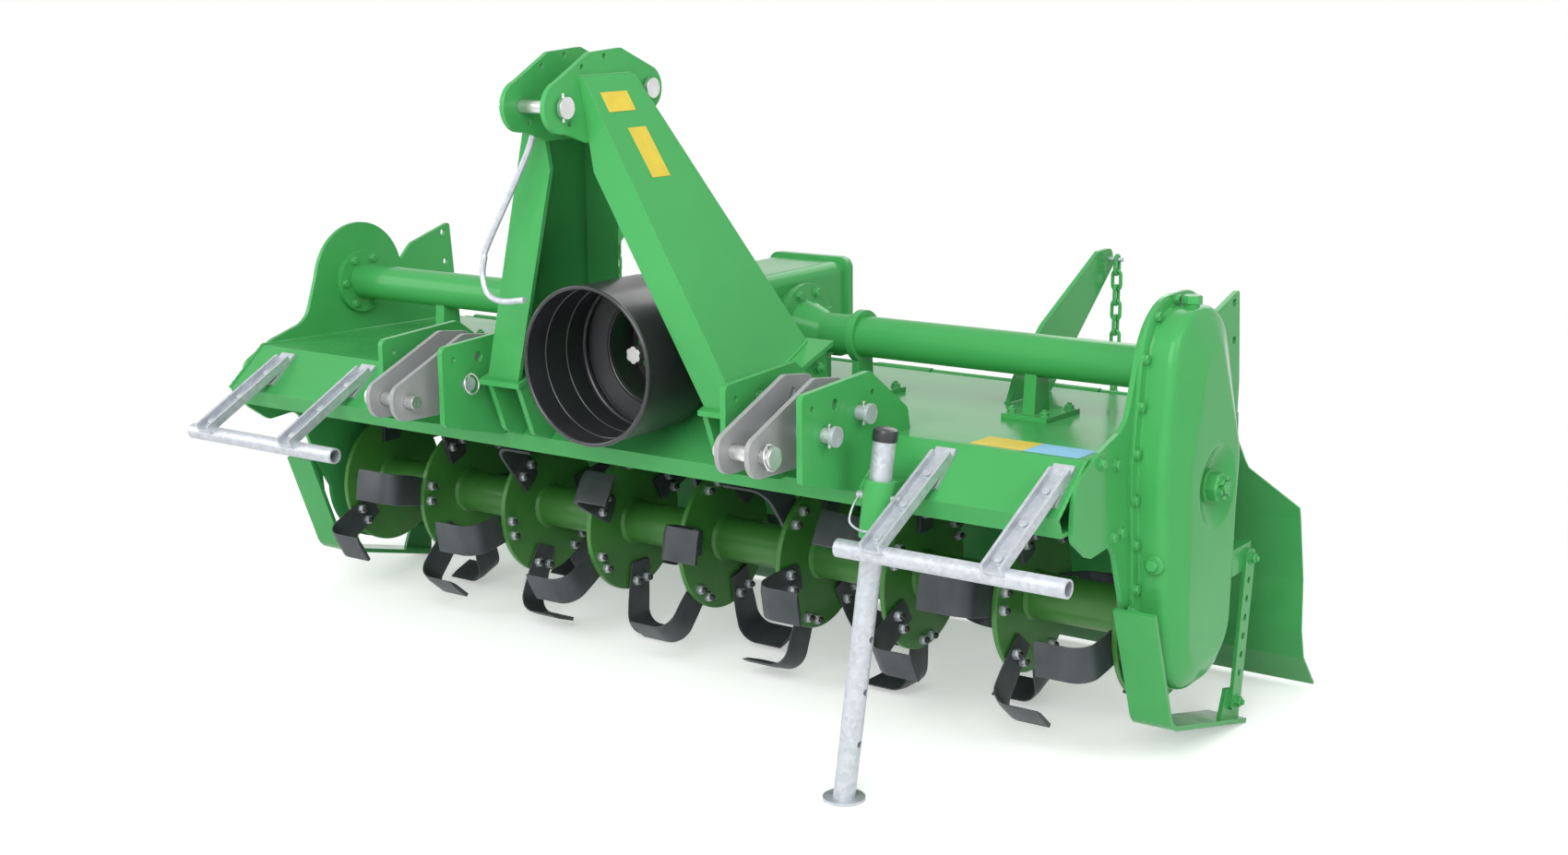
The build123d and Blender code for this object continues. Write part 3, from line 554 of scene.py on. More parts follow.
def edge_group():
    """Rounded normal at sharp edges, and a mask where it leaves the face's own normal, which lightens edges
    partly as wear and partly as painted highlight.
    """
    group, inlet, outlet = new_group("soft_edges", [("Radius", 0.0015), ("Edge Wear and Highlight", 0.12)],
                                     [("Normal", "NodeSocketVector"), ("Mask", "NodeSocketFloat")])
    bevel = group.nodes.new("ShaderNodeBevel")
    bevel.samples = 4
    group.links.new(inlet.outputs["Radius"], bevel.inputs["Radius"])
    geometry = group.nodes.new("ShaderNodeNewGeometry")
    dot = group.nodes.new("ShaderNodeVectorMath")
    dot.operation = "DOT_PRODUCT"
    group.links.new(bevel.outputs["Normal"], dot.inputs[0])
    group.links.new(geometry.outputs["Normal"], dot.inputs[1])
    # Edge mask: where the rounded normal leaves the face's normal, the edge colour is mixed in, partly as wear
    # and partly as painted highlight.
    edge = map_range(group, dot.outputs["Value"], (0.995, 0.80), (0.0, 1.0))
    group.links.new(math_node(group, "MULTIPLY", edge, inlet.outputs["Edge Wear and Highlight"]), outlet.inputs["Mask"])
    group.links.new(bevel.outputs["Normal"], outlet.inputs["Normal"])
    return group


GRAIN = surface_group()
EDGES = edge_group()

# Finishes: the Mix node's colour sockets share their names with its other types, so they go by number
MIX_FIRST = 6
MIX_SECOND = 7
MIX_RESULT = 2
NOISE_SPAN = (0.3, 0.7)
GLOSS_DOWN = 0.05
GLOSS_UP = 0.07
COAT_ROUGH = 0.12
GRAIN_DEPTH = 0.0006


# edge is the colour of lightened edges, white unless given; it stands partly for wear and partly for painted
# highlight.
def make_finish(name, dark, light, rough, metal=0.0, coat=0.0, specular=0.5, bump=0.05, cloud=3.0,
                grain=220.0, spangle=0.0, contrast=NOISE_SPAN, edge=WHITE, edge_wear_and_highlight=0.12):
    """Principled finish from dark to light by cloud or spangle, with edges lightened partly as wear and partly
    as painted highlight, dusty gloss and grain.
    """
    material = bpy.data.materials.new(name)
    material.use_nodes = True
    tree = material.node_tree
    bsdf = tree.nodes["Principled BSDF"]
    surface = place_group(tree, GRAIN, {"Cloud Scale": cloud, "Grain Scale": grain})
    edges = place_group(tree, EDGES, {"Edge Wear and Highlight": edge_wear_and_highlight})
    tone = surface.outputs["Cloud"]
    if spangle > 0:
        coord = tree.nodes.new("ShaderNodeTexCoord")
        cells = tree.nodes.new("ShaderNodeTexVoronoi")
        cells.inputs["Scale"].default_value = spangle
        tree.links.new(coord.outputs["Object"], cells.inputs["Vector"])
        tone = cells.outputs["Color"]
    ramp = tree.nodes.new("ShaderNodeValToRGB")
    for stop, position, colour in zip(ramp.color_ramp.elements, contrast, (dark, light)):
        stop.position = position
        stop.color = (*colour, 1)
    tree.links.new(tone, ramp.inputs["Fac"])
    mix = tree.nodes.new("ShaderNodeMix")
    mix.data_type = "RGBA"
    # Lightened edges: partly wear, partly painted highlight.
    mix.inputs[MIX_SECOND].default_value = (*edge, 1)
    tree.links.new(edges.outputs["Mask"], mix.inputs["Factor"])
    tree.links.new(ramp.outputs["Color"], mix.inputs[MIX_FIRST])
    tree.links.new(mix.outputs[MIX_RESULT], bsdf.inputs["Base Color"])
    dusty = map_range(tree, surface.outputs["Dust"], NOISE_SPAN, (rough - GLOSS_DOWN, rough + GLOSS_UP))
    tree.links.new(dusty, bsdf.inputs["Roughness"])
    bsdf.inputs["Metallic"].default_value = metal
    bsdf.inputs["Specular IOR Level"].default_value = specular
    bsdf.inputs["Coat Weight"].default_value = coat
    bsdf.inputs["Coat Roughness"].default_value = COAT_ROUGH
    relief = tree.nodes.new("ShaderNodeBump")
    relief.inputs["Strength"].default_value = bump
    relief.inputs["Distance"].default_value = GRAIN_DEPTH
    tree.links.new(surface.outputs["Grain"], relief.inputs["Height"])
    tree.links.new(edges.outputs["Normal"], relief.inputs["Normal"])
    tree.links.new(relief.outputs["Normal"], bsdf.inputs["Normal"])
    return material


# The lighter green edge colours of the green finishes are painted highlight along the edges as well as wear.
GREEN = make_finish("gloss_green_paint", (0.058, 0.350, 0.094), (0.070, 0.385, 0.110), 0.16, specular=0.16,
                    bump=0.03, cloud=2.2, grain=160, edge=(0.30, 0.66, 0.36), edge_wear_and_highlight=0.30)
# Rotor green: the green paint made darker as painted shade under the hood.
ROTOR_GREEN_PAINTED_SHADE = make_finish("rotor_green_paint_painted_shade", (0.050, 0.205, 0.036), (0.074, 0.270, 0.050), 0.42, coat=0.1,
                          bump=0.12, cloud=5.0, grain=120, edge=(0.22, 0.45, 0.18), edge_wear_and_highlight=0.25)
TINE_STEEL = make_finish("forged_tine_steel", (0.042, 0.047, 0.054), (0.076, 0.084, 0.096), 0.44, metal=0.25,
                         bump=0.30, cloud=12, grain=90, edge=(0.34, 0.34, 0.34), edge_wear_and_highlight=0.35)
ZINC = make_finish("spangled_zinc", (0.46, 0.49, 0.53), (0.58, 0.61, 0.65), 0.48, metal=0.60,
                   bump=0.06, grain=140, spangle=110, contrast=(0.05, 0.95))
PIN_STEEL = make_finish("bright_pin_steel", (0.62, 0.62, 0.62), (0.76, 0.76, 0.75), 0.26, metal=0.85,
                        bump=0.05, cloud=20, grain=300)
CLEVIS_GREY = make_finish("clevis_grey_paint", (0.27, 0.275, 0.28), (0.33, 0.335, 0.34), 0.40, coat=0.05,
                          bump=0.10, cloud=6, grain=150)
BLACK_PLASTIC = make_finish("moulded_black_plastic", (0.016, 0.017, 0.019), (0.026, 0.027, 0.030), 0.34,
                            coat=0.15, bump=0.12, cloud=8, grain=240)
BLACK_NUT = make_finish("blackened_fastener", (0.03, 0.03, 0.032), (0.07, 0.07, 0.075), 0.40, metal=0.5,
                        bump=0.1, cloud=40, grain=300)
YELLOW = make_finish("plain_yellow_patch", (0.62, 0.47, 0.03), (0.70, 0.54, 0.04), 0.45,
                     bump=0.03, cloud=30)
PALE_BLUE = make_finish("plain_blue_patch", (0.20, 0.47, 0.70), (0.25, 0.53, 0.76), 0.45,
                        bump=0.03, cloud=30)

SLOT_FINISH = {"green_paint": GREEN, "rotor_paint": ROTOR_GREEN_PAINTED_SHADE, "chain_paint": GREEN, "zinc": ZINC,
               "bright_steel": PIN_STEEL, "clevis_grey": CLEVIS_GREY, "black_plastic": BLACK_PLASTIC}


def dress_nodes():
    """Finish of each CAD node, by the slot that the record gives it."""
    for subpart in frame["record"]["subparts"]:
        mesh = frame["nodes"][subpart["node"]].data
        mesh.materials.clear()
        mesh.materials.append(SLOT_FINISH[subpart["material_slot"]])


# Rotor


def drum_profile():
    """Radius and place along the axis, from the left stub over every flange to the right stub."""
    half = FLANGE_T / 2
    weld_r = DRUM_R + DRUM_WELD_UP
    flank = [(FLANGE_R, half - FLANGE_EDGE), (FLANGE_R - FLANGE_EDGE, half), (weld_r, half),
             (weld_r, half + DRUM_WELD_FLAT), (DRUM_R, half + DRUM_WELD_RUN)]
    flange = [(r, -along) for r, along in reversed(flank)] + flank
    left = LEFT_FACE_X - STUB_OUT_LEFT
    right = COVER_X + STUB_OUT_RIGHT
    drum_left = END_LEFT + DRUM_END_GAP
    drum_right = END_RIGHT - DRUM_END_GAP
    profile = [(0, left), (STUB_R, left), (STUB_R, drum_left), (DRUM_R, drum_left)]
    for i in range(FLANGE_N):
        profile += [(r, FLANGE_X0 + FLANGE_PITCH * i + along) for r, along in flange]
    profile += [(DRUM_R, drum_right), (STUB_R, drum_right), (STUB_R, right), (0, right)]
    return profile


def tine_surface():
    """L blade: a flat section of eight points carried up the shank, round a quarter circle and along the axis.

    The centre line is straight, then (R + m cos a, H - R + m sin a) with m = R - t/2 and a from 180 to 90
    degrees, then straight again. A section point stands off it by a share of the blade's thickness. Its y is
    that of the blunt back edge or the ground leading edge at that height.
    """
    half = TINE_T / 2
    mid = TINE_BEND - half
    bend = np.radians(np.linspace(180, 90, 9))
    shank = np.ones(len(TINE_SHANK_Z))
    foot = np.ones(len(TINE_FOOT_X))
    x = np.concatenate([shank * half, TINE_BEND + mid * np.cos(bend), TINE_FOOT_X])
    z = np.concatenate([TINE_SHANK_Z, TINE_OUT - TINE_BEND + mid * np.sin(bend), foot * (TINE_OUT - half)])
    angle = np.concatenate([shank * np.pi, bend, foot * np.pi / 2])[:, None]
    front = np.interp(z, *TINE_FRONT)
    back = np.interp(z, *TINE_BACK)
    ground = front - TINE_GRIND
    blunt = back + TINE_CHAMFER
    y = np.stack([back, back, blunt, ground, front, front, ground, blunt], -1)
    off = np.array([TINE_CHAMFER - half, half - TINE_CHAMFER, half, half, TINE_EDGE, -TINE_EDGE, -half, -half])
    points = np.stack([x[:, None] + np.cos(angle) * off, y, z[:, None] + np.sin(angle) * off], -1)
    return points.reshape(-1, 3), capped_faces(*y.shape)


def turn_x(points, degrees):
    """Points turned about the X axis."""
    c = math.cos(math.radians(degrees))
    s = math.sin(math.radians(degrees))
    return points @ np.array([[1, 0, 0], [0, c, s], [0, -s, c]])


def tine_places():
    """Flange x, side and angle of each blade; the end flanges have none on their outer sides."""
    places = []
    for i in range(FLANGE_N):
        for k in range(TINES_PER_FLANGE):
            side = 1 if k % 2 == 0 else -1
            if 0 <= i + side < FLANGE_N:
                angle = 360 / TINES_PER_FLANGE * k + FLANGE_LAG * i
                places.append((FLANGE_X0 + FLANGE_PITCH * i, side, angle))
    return places


def add_rotor():
    """Drum with its flanges, the blades, and a bolt with its nut through each hole of a blade."""
    # The drum's green is the green paint darkened as painted shade.
    drum = mesh_piece("rotor_drum_skin", lay(turned(drum_profile(), 64), [(0, 0, ROTOR_Z)], (1, 0, 0)),
                      "rotor", ROTOR_GREEN_PAINTED_SHADE)
    blade, blade_faces = tine_surface()
    holes = np.array([(0.0, y, r) for y, r in TINE_HOLES])
    half = FLANGE_T / 2
    blades = []
    nut_places = []
    head_places = []
    for x, side, angle in tine_places():
        points = turn_x(blade * (side, 1, 1), angle) + (x + side * half, 0, ROTOR_Z)
        blades.append((in_frame(points), blade_faces))
        spots = turn_x(holes, angle) + (x, 0, ROTOR_Z)
        nut_places.append(spots + (half + (TINE_T if side > 0 else 0), 0, 0))
        head_places.append(spots - (half + (TINE_T if side < 0 else 0), 0, 0))
    nut_places = np.concatenate(nut_places)
    head_places = np.concatenate(head_places)
    mesh_piece("tines", join(*blades), "rotor", TINE_STEEL, sharp=28)
    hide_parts("rotor")
    bolts("tine_nuts", collar_nut(TINE_BOLT_R), nut_places, (1, 0, 0), ZINC, "rotor")
    bolts("tine_rod_ends", rod_end(TINE_BOLT_R), nut_places, (1, 0, 0), BLACK_NUT, "rotor")
    bolts("tine_bolt_heads", hex_bolt(TINE_BOLT_R), head_places, (-1, 0, 0), BLACK_NUT, "rotor")


# Lift chains


def link_path(lengthways):
    """Centre line of an upright link: two straight sides joined by half circles, in x or lengthways in y."""
    bend_r = LINK_WIDTH / 2 - WIRE_R
    straight = (LINK_PITCH + LINK_SLACK) / 2 + WIRE_R - bend_r
    a = np.linspace(0, np.pi, 9)
    top = np.stack([bend_r * np.cos(a), straight + bend_r * np.sin(a)], -1)
    ring = np.concatenate([top, -top])
    path = np.zeros((len(ring), 3))
    path[:, 1 if lengthways else 0] = ring[:, 0]
    path[:, 2] = ring[:, 1]
    return path


def add_chains():
    """Two chains of round wire, each link a quarter turn from the one above."""
    first_z = CHAIN_TOP_Z + SHACKLE_R + SEAT - (LINK_PITCH + LINK_SLACK) / 2
    for label, x in (("right", MID_X + ARM_OFF), ("left", MID_X - ARM_OFF)):
        links = []
        for i in range(LINK_COUNT):
            path = link_path(i % 2 == 0) + (x, CHAIN_Y, first_z - LINK_PITCH * i)
            links.append(tube_path(in_frame(path), WIRE_R * MM, 10, True))
        chain = mesh_piece("chain_wire_" + label, join(*links), "chains", GREEN)
        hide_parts("lift_chain_" + label)


# Chain case cover


def corner_path(corners, arc_steps=12, side_steps=10):
    """Points round a closed outline of arc corners (y, z, radius) and straight sides, arc and side in turn.

    An arc's points lie at its radius from its centre, towards points of the chord between its two ends.
    """
    t = np.linspace(0, 1, arc_steps)[:, None]
    arcs = []
    for before, here, after in zip((corners[-1], *corners[:-1]), corners, (*corners[1:], corners[0])):
        corner = np.array(here[:2])
        radius = here[2]
        to_before = np.array(before[:2]) - corner
        to_after = np.array(after[:2]) - corner
        to_before = to_before / np.linalg.norm(to_before)
        to_after = to_after / np.linalg.norm(to_after)
        half = math.acos(float(to_before @ to_after)) / 2
        inward = (to_before + to_after) / np.linalg.norm(to_before + to_after)
        centre = corner + inward * radius / math.sin(half)
        first = corner + to_before * radius / math.tan(half) - centre
        last = corner + to_after * radius / math.tan(half) - centre
        chord = first * (1 - t) + last * t
        arcs.append(centre + chord / np.linalg.norm(chord, axis=1)[:, None] * radius)
    t = np.linspace(0, 1, side_steps + 1, endpoint=False)[1:, None]
    path = []
    for arc, next_arc in zip(arcs, arcs[1:] + arcs[:1]):
        path += [arc, arc[-1] * (1 - t) + next_arc[0] * t]
    return np.concatenate(path)


def even_loop(corners, count):
    """Equally spaced (y, z) places on a closed outline of arc corners."""
    path = corner_path(corners)
    loop = np.concatenate([path, path[:1]])
    run = np.concatenate([[0], np.cumsum(np.linalg.norm(np.diff(loop, axis=0), axis=1))])
    want = np.arange(count) * run[-1] / count
    return np.stack([np.interp(want, run, loop[:, 0]), np.interp(want, run, loop[:, 1])], -1)


def case_corners(wide):
    """Corners (y, z, radius) of the chain case outline, grown by wide."""
    top = CASE_TOP_Z + wide
    low = CASE_LOW_Z - wide
    return [(TUBE_Y - CASE_TOP_HALF - wide, top, CASE_TOP_R), (TUBE_Y + CASE_TOP_HALF + wide, top, CASE_TOP_R),
            (CASE_WAIST_Y[1] + wide, CASE_WAIST_Z, CASE_WAIST_R), (CASE_LOW_HALF + wide, low, CASE_LOW_R),
            (-CASE_LOW_HALF - wide, low, CASE_LOW_R), (CASE_WAIST_Y[0] - wide, CASE_WAIST_Z, CASE_WAIST_R)]


def round_about(centre, radius, path):
    """Circle about a centre whose points lie towards the points of a path."""
    ray = path - np.array(centre)
    return np.array(centre) + ray / np.linalg.norm(ray, axis=1)[:, None] * radius


def eased(first, corner, last, steps=5):
    """Rows on the quadratic curve (1-t)^2 first + 2t(1-t) corner + t^2 last."""
    return [(1 - t) ** 2 * first + 2 * t * (1 - t) * corner + t ** 2 * last for t in np.linspace(0, 1, steps)]


def cover_surface():
    """Pressed cover, as rows carried round the case: bore, flange, wall, bevel, flat face, dish and nut boss.

    A bevel row lies at edge + (face - edge) d / L and height WALL + (COVER_DEPTH - WALL) d / L, with d from 0
    to the distance L between the two outlines. A dish row of radius r, on a ball of radius R, lies
    sqrt(R^2 - r^2) - (R - RECESS_D) below the face.
    """
    edge = corner_path(case_corners(0))
    face = corner_path(FACE_CORNERS)
    length = np.linalg.norm(face - edge, axis=1)[:, None]
    dish_edge = round_about(RECESS, RECESS_R, face)
    inward = (dish_edge - face) / np.linalg.norm(dish_edge - face, axis=1)[:, None]

    def row(flat, height):
        """Row of (x, y, z) points at a height above the end plate."""
        return np.column_stack([np.broadcast_to(COVER_X + height, (len(edge), 1)), flat])

    def bore_row(radius, height):
        """Round row about the rotor axis."""
        return row(round_about((0.0, ROTOR_Z), radius, edge), height)

    def grown_row(wide, height):
        """Row on the case outline grown by wide."""
        return row(corner_path(case_corners(wide)), height)

    def bevel_row(inset):
        """Row on the bevel at a distance in from the wall."""
        return row(edge + (face - edge) * inset / length, WALL + (COVER_DEPTH - WALL) * inset / length)

    def dish_row(radius, height):
        """Round row about the middle of the dish."""
        return row(round_about(RECESS, radius, face), height)

    rows = [bore_row(0, BORE_DEPTH), bore_row(BORE_R, BORE_DEPTH), bore_row(BORE_R, 0), grown_row(LIP_W, 0),
            grown_row(LIP_W, LIP_T - LIP_EDGE), grown_row(LIP_W - LIP_EDGE, LIP_T),
            grown_row(LIP_FILLET, LIP_T), grown_row(LIP_FILLET / 4, LIP_T + LIP_FILLET / 4),
            row(edge, LIP_T + LIP_FILLET), row(edge, LIP_T + LIP_FILLET + HOLD),
            row(edge, WALL - EDGE_R - HOLD)]
    rows += eased(row(edge, WALL - EDGE_R), row(edge, WALL), bevel_row(EDGE_R))
    rows += [bevel_row(EDGE_R + HOLD), bevel_row(length - FACE_R - HOLD)]
    rows += eased(bevel_row(length - FACE_R), row(face, COVER_DEPTH), row(face + inward * FACE_R, COVER_DEPTH))
    rows += [row(face + inward * (FACE_R + HOLD), COVER_DEPTH),
             dish_row(RECESS_R + DISH_ROUND + DISH_HOLD, COVER_DEPTH)]
    rows += eased(dish_row(RECESS_R + DISH_ROUND, COVER_DEPTH), row(dish_edge, COVER_DEPTH),
                  dish_row(RECESS_R - DISH_ROUND, COVER_DEPTH - DISH_DROP), 4)
    ball = (RECESS_R ** 2 + RECESS_D ** 2) / (2 * RECESS_D)
    for r in np.linspace(RECESS_R - 2 * DISH_ROUND, BOSS_R, 7):
        rows.append(dish_row(r, COVER_DEPTH + ball - RECESS_D - math.sqrt(ball ** 2 - r ** 2)))
    boss_top = COVER_DEPTH - BOSS_DROP
    rows += [dish_row(BOSS_R, boss_top - BOSS_EDGE), dish_row(BOSS_R - BOSS_EDGE, boss_top),
             dish_row(0, boss_top)]
    return in_frame(np.concatenate(rows)), [grid_faces(len(rows), len(edge), False, True)]


def add_case_cover():
    """Cover with its dish, in place of the plainer solid."""
    cover = mesh_piece("case_cover_skin", cover_surface(), "frame", GREEN, sharp=42)
    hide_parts("case_cover")


# Bolts and nuts


def bolts(name, shape, places, directions, material=GREEN, body="frame"):
    """One piece of like fasteners."""
    return mesh_piece(name, lay(shape, places, directions), body, material)


def ring_places(x, y, z, radius, count, start=0.0):
    """Places equally spaced round a circle square to X."""
    a = start + np.arange(count) * 2 * np.pi / count
    return np.stack([np.full(count, x), y + radius * np.cos(a), z + radius * np.sin(a)], -1)


def mirrored(places, about=0.0):
    """Places with their mirror images across an upright plane, the hitch centre or another x."""
    places = np.asarray(places, float)
    return np.concatenate([places, places * (-1, 1, 1) + (2 * about, 0, 0)])


def outward(places):
    """Directions away from the hitch centre plane."""
    return np.sign(places[:, :1]) * (1, 0, 0)


def add_case_bolts():
    """Bolts of the cover and the end plate, the nut in the dish, the level plug and the filler cap."""
    flange_bolts = [(COVER_X + LIP_T, y, z) for y, z in even_loop(case_corners(LIP_W / 2), CASE_BOLT_N)]
    bolts("case_flange_bolts", hex_bolt(CASE_BOLT_R), flange_bolts, (1, 0, 0))
    bolts("case_plate_bolts", hex_bolt(PLATE_BOLT_R), [(COVER_X, y, z) for y, z in PLATE_BOLTS], (1, 0, 0))
    boss = (COVER_X + COVER_DEPTH - BOSS_DROP, *RECESS)
    bolts("case_castle_nut", castle_nut(CASTLE_NUT_R), [boss], (1, 0, 0))
    plug_seat = turned([(0, -4), (19, -4), (19, 5), (15, 8), (0, 8)], 24)
    plug_head = turned([(0, 6), (12, 6), (12, 16), (10, 18), (0, 18)], 6)
    bolts("case_plug", join(plug_seat, plug_head), [PLUG], PLUG_AXIS)
    filler_neck = turned([(0, -12), (15, -12), (15, 6), (0, 6)], 20)
    filler_head = turned([(0, 5), (19, 5), (19, 17), (17, 20), (0, 20)], 6)
    bolts("case_filler_cap", join(filler_neck, filler_head), [FILLER], (0, 0, 1))


def add_gearbox_bolts():
    """Bolts round the gearbox necks and along the edges of its lid."""
    neck = mirrored(ring_places(NECK_FACE_X, TUBE_Y, TUBE_Z, NECK_CIRCLE_R, NECK_BOLT_N, NECK_START))
    bolts("gearbox_neck_bolts", hex_bolt(NECK_BOLT_R), neck, outward(neck))
    lid = [(x, LID_Y, z) for x in LID_ROW_X for z in LID_ROW_Z]
    lid += [(x, LID_Y, z) for z in LID_SIDE_Z for x in LID_SIDE_X]
    bolts("gearbox_lid_bolts", hex_bolt(LID_BOLT_R), lid, (0, 1, 0))


def add_end_bolts():
    """Bolts of the cross tube's end flanges and of the left plate and hub, with the hub's cap."""
    left = ring_places(END_LEFT + TUBE_FLANGE_T, TUBE_Y, TUBE_Z, TUBE_CIRCLE_R, TUBE_BOLT_N)
    right = ring_places(END_RIGHT - TUBE_FLANGE_T, TUBE_Y, TUBE_Z, TUBE_CIRCLE_R, TUBE_BOLT_N)
    flanges = np.concatenate([left, right])
    bolts("tube_flange_bolts", hex_bolt(TUBE_BOLT_R), flanges, -outward(flanges))
    plate = np.concatenate([ring_places(HUB_FACE_X, 0, ROTOR_Z, HUB_CIRCLE_R, HUB_BOLT_N),
                            ring_places(LEFT_FACE_X, TUBE_Y, TUBE_Z, TUBE_CIRCLE_R, TUBE_BOLT_N)])
    bolts("left_plate_bolts", hex_bolt(HUB_BOLT_R), plate, (-1, 0, 0))
    cap = turned([(0, -2), (34, -2), (34, 5), (30, 11), (16, 15), (0, 16)], 32)
    bolts("left_hub_cap", cap, [(HUB_FACE_X, 0, ROTOR_Z)], (-1, 0, 0))


def add_frame_nuts():
    """Nuts of the mast bases, the saddles on the hood, and the skids with their straps."""
    base = mirrored([(BASE_OUT_X, y, foot_z(y) - BASE_BOLT_DROP) for y in BASE_BOLT_Y])
    bolts("mast_base_bolts", hex_nut(BASE_BOLT_R), base, outward(base))
    saddle = [(x + dx, y, hood_z(y) + SADDLE_T)
              for x in SADDLE_X for dx in SADDLE_BOLT_DX for y in SADDLE_BOLT_Y]
    bolts("saddle_nuts", hex_nut(SADDLE_NUT_R), saddle, (0, 0, 1))
    right = [(STRAP_FACE_X, y, z) for y, z in STRAP_BOLTS] + [(SKID_FACE_X, *SKID_BOLT)]
    skid = mirrored(right, END_MID)
    bolts("skid_nuts", hex_nut(SKID_NUT_R), skid, outward(skid))


def add_guard_bolts():
    """Three bolts on the floor of each channel arm, from the hood's front slope to the guard tube."""
    slope = (FOLD - HOOD_FRONT) / np.linalg.norm(FOLD - HOOD_FRONT)
    slope_out = np.array([slope[1], -slope[0]])
    start = (HOOD_FRONT + FOLD) / 2 + slope_out * ARM_RISE
    run = np.array([GUARD_Y, GUARD_Z + GUARD_R + ARM_ON_TUBE]) - start
    length = np.linalg.norm(run)
    along = run / length
    up = np.array([along[1], -along[0]])
    reach = np.array([GUARD_BOLT_START, length * GUARD_BOLT_SHARE, length - GUARD_BOLT_END])
    spots = start + along * reach[:, None] - up * ARM_FLOOR
    places = [(x, y, z) for x in GUARD_ARMS for y, z in spots]
    bolts("guard_bolts", hex_bolt(GUARD_BOLT_R), places, (0, *up), ZINC)


# Pins, stand and hook


def rod_piece(name, ends, radius, material):
    """Round rods between pairs of places."""
    rods = [tube_path(np.linspace(*in_frame(pair), 3), radius * MM) for pair in ends]
    return mesh_piece(name, join(*rods), "frame", material)


def wire_ring(x, y, z, radius, lean):
    """Ring on a pin's end, leaning out: (x + lean (1 - sin a), y + r cos a, z + r sin a) with a once round."""
    a = np.linspace(0, 2 * np.pi, 28, endpoint=False)
    path = np.stack([x + lean * (1 - np.sin(a)), y + radius * np.cos(a), z + radius * np.sin(a)], -1)
    return tube_path(in_frame(path), CLIP_WIRE_R * MM, 8, True)


def add_pins():
    """Cross rods through the ends of the hitch and mast pins, and the ring clips that hang there."""
    rods = list(HEAD_RODS)
    rings = []
    for side in (1, -1):
        rods += [(side * x, pin, half) for x, pin, half in (CLEVIS_ROD, *HITCH_OUT_RODS, *HITCH_IN_RODS)]
        rings += [wire_ring(side * x, *pin, r, side * lean) for x, pin, r, lean in (CLEVIS_CLIP, *HITCH_CLIPS)]
    ends = [((x, y, z - half), (x, y, z + half)) for x, (y, z), half in rods]
    rod_piece("pin_cross_rods", ends, CROSS_ROD_R, PIN_STEEL)
    mesh_piece("pin_ring_clips", join(*rings), "frame", PIN_STEEL)


def add_stand_fittings():
    """Cap on the leg, and the lock pin through its sleeve with the wire bow that holds it."""
    cap = turned([(0, -14), (23, -14), (23.4, -12), (23.4, 2), (22, 7), (17, 10), (8, 11.5), (0, 12)], 28)
    bolts("stand_cap", cap, [LEG_TOP], LEG_TOP - LEG_FOOT, BLACK_PLASTIC, "stand")
    lock = LEG_FOOT + (LEG_TOP - LEG_FOOT) * (LOCK_Z / LEG_TOP[2])
    ends = []
    for side, out in zip((1, -1), LOCK_PIN_OUT):
        ends.append((lock + (side * (SLEEVE_R - LOCK_PIN_SINK), 0, 0), lock + (side * (SLEEVE_R + out), 0, 0)))
    rod_piece("stand_lock_pin", ends, LOCK_PIN_R, ZINC)
    bow = in_frame(smooth_curve(lock + np.array(LOCK_BOW), 8))
    mesh_piece("stand_lock_bow", tube_path(bow, LOCK_WIRE_R * MM, 8), "frame", ZINC)


def add_hook():
    """Drive shaft hook of bent rod."""
    path = in_frame(smooth_curve(np.array(HOOK) + (0, 0, POST_TOP[1]), 8))
    hook = mesh_piece("pto_hook_rod", tube_path(path, HOOK_ROD_R * MM, 14), "frame", ZINC)
    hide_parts("pto_hook")


# Shield, welds and patches


def hoop(y, radius, wire):
    """Ring of round section about the shaft axis."""
    a = np.linspace(0, 2 * np.pi, 72, endpoint=False)
    path = np.stack([radius * np.cos(a), np.full(len(a), y), TUBE_Z + radius * np.sin(a)], -1)
    return tube_path(in_frame(path), wire * MM, 10, True)


def add_shield_hoops():
    """Rolled rim of the shield and the ribs inside its mouth."""
    mesh_piece("shield_rim_and_ribs", join(*[hoop(*sizes) for sizes in SHIELD_HOOPS]), "frame",
               BLACK_PLASTIC)


def bead(start, end, radius=WELD_R):
    """Weld along a line: a round bead whose radius ripples, r (1 + 0.16 sin(2 pi k / 3)) at the k-th step."""
    first, last = in_frame([start, end])
    steps = max(6, int(np.linalg.norm(last - first) / (WELD_STEP * MM)))
    line = np.linspace(first, last, steps)
    sides = 8
    points, faces = tube_path(line, radius * MM, sides)
    ripple = 1 + WELD_RIPPLE * np.sin(np.arange(steps) * 2 * np.pi / 3)
    middles = line[:, None, :]
    rings = middles + (points.reshape(steps, sides, 3) - middles) * ripple[:, None, None]
    return rings.reshape(-1, 3), faces


